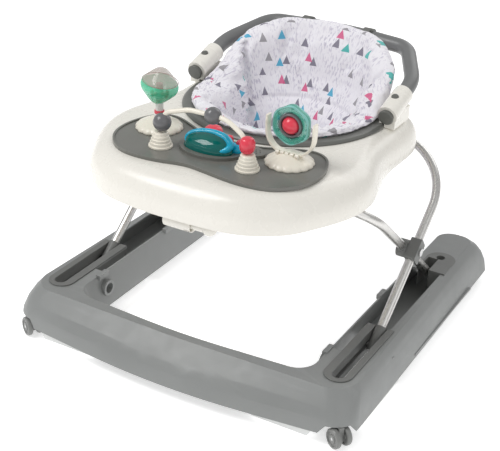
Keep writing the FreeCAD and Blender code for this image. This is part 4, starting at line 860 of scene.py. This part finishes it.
def make_spinner():
    hub = centre_of("spinner_ball")
    toy_dome("spinner_foot", hub, ("spinner_stand",))
    floor = PANEL_TOP
    half = (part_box("spinner_stand")[1].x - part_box("spinner_stand")[0].x) / 2.0
    half = min(half, hub.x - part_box("spinner_stand")[0].x)
    arm = [(half - 0.002, hub.z + 0.009), (half - 0.002, hub.z - 0.010), (half - 0.0035, floor + 0.040),
           (half - 0.010, floor + 0.028), (half - 0.021, floor + 0.0195), (0.0, floor + 0.0175)]
    right = [Vector((x, 0, z)) for x, z in arm]
    line = spline(right + [Vector((-p.x, 0, p.z)) for p in reversed(right[:-1])], 10)
    band = [(math.copysign(abs(math.cos(t)) ** 0.45, math.cos(t)) * 0.0022,
             math.copysign(abs(math.sin(t)) ** 0.45, math.sin(t)) * 0.0070)
            for t in (2 * math.pi * k / 20 for k in range(20))]
    path = [Vector((hub.x, hub.y, 0)) + p for p in line]
    yoke = sweep("spinner_yoke", path, band, upright=Vector((0, 1, 0)))
    new_object("spinner_yoke", yoke, MATERIALS["toy_cream"], slot="toy_cream")
    for side in (-1, 1):
        name = "spinner_ear_right" if side > 0 else "spinner_ear_left"
        unit, faces = ball_points((0, 0, 0), 0.0088, None, 13, 28)
        points = [hub + Vector((side * (half - 0.0022) + p.x * 0.34, p.y, p.z)) for p in unit]
        new_object(name, make_mesh(name, points, faces, 80.0), MATERIALS["toy_cream"], slot="toy_cream")
    for index in range(5):
        across = (index - 2) * 0.0085
        knuckle = [Vector((hub.x + across - 0.0028, hub.y - 0.0095, floor + 0.0185)),
                   Vector((hub.x + across + 0.0028, hub.y - 0.0095, floor + 0.0185))]
        new_object("spinner_knuckle_%d" % index, sweep("knuckle", knuckle, circle(0.0036, 16)),
                   MATERIALS["toy_cream"], slot="toy_cream")
    reach = (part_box("spinner_ring")[1].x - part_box("spinner_ring")[0].x) / 2.0
    ring = lobed_ring("spinner_ring_lobed", hub, 0.0205, reach - 0.0002, 6, 0.085, 0.0125)
    new_object("spinner_ring_lobed", ring, EXTRA["ring_green"], "spinner", "toy_teal", ("spinner_ring",))
    rim = lobed_ring("spinner_ring_edge", hub, reach - 0.0046, reach - 0.0006, 6, 0.085, 0.0135)
    new_object("spinner_ring_edge", rim, EXTRA["edge_cyan"], "spinner", "toy_teal")
    dark = lobed_ring("spinner_bezel", hub, 0.0150, 0.0202, 1, 0.0, 0.0150)
    new_object("spinner_bezel", dark, MATERIALS["toy_dark"], "spinner", "toy_dark", ("spinner_collar",))
    ball("spinner_core", hub, 0.0148, (29, 56), MATERIALS["toy_red"], "spinner", "toy_red", ("spinner_ball",))
    for index in range(6):
        turn = math.pi / 3 * index
        place = hub + Vector((math.sin(turn) * 0.0268, 0, math.cos(turn) * 0.0268))
        ball("spinner_stud_%d" % index, place, 0.0026, (9, 16), MATERIALS["toy_dark"], "spinner", "toy_dark")


CONE_RIBS = 5
CONE_FOOT = 0.0200


def make_bead_maze():
    low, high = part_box("bead_cones")
    top = high.z - low.z
    y = (low.y + high.y) / 2.0
    rib_step = top / CONE_RIBS
    for name, x in (("left", low.x + CONE_FOOT), ("right", high.x - CONE_FOOT)):
        profile = [(0.0, 0.0)]
        for rib in range(CONE_RIBS):
            share = rib / CONE_RIBS
            wide = CONE_FOOT + (0.0105 - CONE_FOOT) * share ** 0.85
            rise = top * share
            profile += [(wide, rise), (wide * 0.985, rise + rib_step * 0.62),
                        (wide * 0.90, rise + rib_step * 0.66), (wide * 0.885, rise + rib_step * 0.96)]
        profile += [(0.0095, top), (0.0, top)]
        mesh = lathe("bead_cone_" + name, rounded(profile, 0.0007, 3), (x, y, low.z), 72)
        new_object("bead_cone_" + name, mesh, MATERIALS["toy_cream"], slot="toy_cream",
                   replaces=("bead_cones",) if name == "left" else ())
    beads_low, beads_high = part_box("end_beads")
    radius = 0.0150
    left = Vector((beads_low.x + radius, y + 0.001, PANEL_TOP + top + 0.0152))
    ball("bead_ball_left", left, radius, (29, 56), MATERIALS["toy_dark"], TRAY_BODY, "toy_dark",
         ("end_beads",))
    right = Vector((beads_high.x - 0.0120, y + 0.001, PANEL_TOP + top + 0.0002))
    barrel = [(0.0, 0.0), (0.0062, 0.0004), (0.0100, 0.0030), (0.0122, 0.0080), (0.0128, 0.0135),
              (0.0122, 0.0190), (0.0100, 0.0240), (0.0062, 0.0266), (0.0, 0.0270)]
    new_object("bead_barrel_right", lathe("barrel", rounded(barrel, 0.002), right, 56, angle=80.0),
               MATERIALS["toy_red"], slot="toy_red")
    ball("bead_ball_sliding", centre_of("sliding_bead"), 0.0140, (29, 56), MATERIALS["toy_dark"],
         "sliding_bead", "toy_dark", ("sliding_bead",))


# how far each red button's cap stands above the flat top of its stand-in
BUTTON_CROWN = {"large": 0.0090, "middle": 0.0045, "small": 0.0040}
# the caps' undersides stay this much clear of the panel when they are pressed
CAP_LIFT = 0.0006
MUSIC_LEAN = Matrix.Rotation(math.radians(27.0), 3, "X")


def leaning_dome(name, centre, half, material, low=-90.0, high=90.0, **settings):
    """A smooth bulge with half sizes (across, deep, rise) that leans towards the child."""
    unit, faces = ball_points((0, 0, 0), 1.0, None, 33, 96, low, high)
    points = [centre + MUSIC_LEAN @ Vector((p.x * half[0], p.y * half[1], p.z * half[2])) for p in unit]
    return new_object(name, make_mesh(name, points, faces, 80.0), material, **settings)


def make_music_toy():
    low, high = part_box("music_bezel")
    middle = Vector(((low.x + high.x) / 2, (low.y + high.y) / 2, low.z))
    wide, deep = (high.x - low.x) / 2, (high.y - low.y) / 2
    centre = middle + Vector((0, 0, 0.0105))
    # the blue collar is thick behind the window and thins out to a lip in front of it
    points = []
    steps, section = 144, 20
    for step in range(steps):
        turn = 2 * math.pi * step / steps
        rear = 0.5 + 0.5 * math.sin(turn + 0.35)
        thick = 0.0012 + 0.0060 * rear ** 0.8
        outward = Vector((math.cos(turn) * deep, math.sin(turn) * wide, 0)).normalized()
        spot = Vector((math.cos(turn) * (wide - 0.0075), math.sin(turn) * (deep - 0.0050), 0))
        for k in range(section):
            angle = 2 * math.pi * k / section
            rise = math.sin(angle) * thick * 1.15 + (thick - 0.0018) * 0.55
            offset = spot + outward * math.cos(angle) * thick + Vector((0, 0, rise))
            points.append(centre + MUSIC_LEAN @ offset)
    collar = make_mesh("music_collar", points, grid_faces(steps, section, True, True), 80.0)
    new_object("music_collar", collar, EXTRA["glossy_blue"], slot="toy_blue", replaces=("music_bezel",))
    leaning_dome("music_window", centre + Vector((0, -0.0010, -0.0010)),
                 (wide - 0.0062, deep - 0.0022, 0.0136),
                 EXTRA["clear_teal"], slot="toy_teal", replaces=("music_lens",))
    # a pale green bulge under the window: a painted highlight on the lens, not a part of the toy
    leaning_dome("music_window_highlight", centre + Vector((-0.004, -0.0015, 0.0052)),
                 (wide * 0.46, deep * 0.34, 0.0072), EXTRA["pale_green"], slot="toy_teal")
    # the blue wing beside the buttons and the bowl that everything stands in
    for name, across, along, half in (("wing", 0.92, 0.70, (0.0105, 0.0085, 0.0080)),
                                      ("tail", 0.66, 0.98, (0.0110, 0.0075, 0.0075))):
        leaning_dome("music_" + name, middle + Vector((wide * across, deep * along, 0.0035)), half,
                     EXTRA["glossy_blue"], slot="toy_blue")
    unit_bowl = [(0.0, 0.0), (1.0, 0.0), (0.97, 0.006), (0.90, 0.011), (0.0, 0.012)]
    bowl = lathe("music_bowl", rounded(unit_bowl, 0.02), (0, 0, 0), 120, angle=70.0)
    set_coordinates(bowl, [(middle.x + x * (wide - 0.003), middle.y + y * (deep - 0.001), middle.z + z)
                           for x, y, z in coordinates(bowl)])
    new_object("music_bowl", bowl, EXTRA["clear_teal"], slot="toy_teal")
    for name in ("large", "middle", "small"):
        node = "music_button_" + name
        low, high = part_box(node)
        middle = (low + high) / 2
        radius, rise = (high.x - low.x) / 2, high.z - low.z + BUTTON_CROWN[name]
        profile = [(0.0, CAP_LIFT), (radius, CAP_LIFT), (radius, rise * 0.50), (radius * 0.93, rise * 0.74),
                   (radius * 0.74, rise * 0.91), (radius * 0.40, rise * 0.99), (0.0, rise)]
        mesh = lathe(node + "_cap", rounded(profile, 0.0022, 5), (middle.x, middle.y, low.z), 64, angle=60.0)
        new_object(node + "_cap", mesh, MATERIALS["toy_red"], node, "toy_red", (node,))


# ------------------------------------------------------------------ the stage

def make_stage():
    mesh = bpy.data.meshes.new("floor")
    reach = 8.0
    mesh.from_pydata([(-reach, -reach, 0), (reach, -reach, 0), (reach, reach, 0), (-reach, reach, 0)],
                     [], [(0, 1, 2, 3)])
    floor = bpy.data.objects.new("floor", mesh)
    bpy.context.collection.objects.link(floor)
    material = bpy.data.materials.new("floor_pale")
    tree = Tree(material)
    tone = tree.mix(tree.noise(3.0), (0.86, 0.86, 0.86, 1.0), (0.88, 0.88, 0.88, 1.0))
    tree.surface(Base_Color=tone, Roughness=0.9, Emission_Color=(1.0, 1.0, 1.0, 1.0), Emission_Strength=0.55)
    mesh.materials.append(material)
    world = bpy.data.worlds.new("studio")
    world.use_nodes = True
    world.node_tree.nodes["Background"].inputs[0].default_value = (1.0, 1.0, 1.0, 1.0)
    world.node_tree.nodes["Background"].inputs[1].default_value = 0.52
    bpy.context.scene.world = world
    bpy.context.scene.view_settings.view_transform = "Standard"
    for name, place, size, power in (("key", (-1.3, -1.3, 2.6), 1.3, 40.0),
                                     ("fill", (2.2, -0.9, 1.3), 2.0, 9.0),
                                     ("back", (0.4, 2.2, 1.9), 1.8, 14.0)):
        light = bpy.data.lights.new(name, "AREA")
        light.size = size
        light.energy = power
        lamp = bpy.data.objects.new(name, light)
        lamp.location = place
        lamp.rotation_euler = (Vector((0, 0, 0.2)) - Vector(place)).to_track_quat("-Z", "Y").to_euler()
        bpy.context.collection.objects.link(lamp)


# the camera that matches the photo: angles in degrees, lens in millimetres, place in metres
CAMERA_ANGLES = (28.43, 27.26, 2.49)
CAMERA_LENS = 87.3
CAMERA_PLACE = (0.90095, -1.71935, 1.16662)


def make_camera():
    azimuth, elevation, roll = (math.radians(angle) for angle in CAMERA_ANGLES)
    back = Vector((math.sin(azimuth) * math.cos(elevation), -math.cos(azimuth) * math.cos(elevation),
                   math.sin(elevation)))
    level = Vector((math.cos(azimuth), math.sin(azimuth), 0))
    upright = back.cross(level)
    right = level * math.cos(roll) + upright * math.sin(roll)
    up = upright * math.cos(roll) - level * math.sin(roll)
    camera = bpy.data.objects.new("camera", bpy.data.cameras.new("camera"))
    camera.data.lens = CAMERA_LENS
    camera.data.sensor_width = 36.0
    camera.data.clip_end = 50.0
    facing = Matrix((right, up, back)).transposed().to_4x4()
    camera.matrix_world = Matrix.Translation(CAMERA_PLACE) @ facing
    bpy.context.collection.objects.link(camera)
    bpy.context.scene.camera = camera


dress_frame()
for moulded_node, edge_radius in MOULDED.items():
    moulded(moulded_node, edge_radius)
make_seat()
make_rattle()
make_spinner()
make_bead_maze()
make_music_toy()
make_stage()
make_camera()
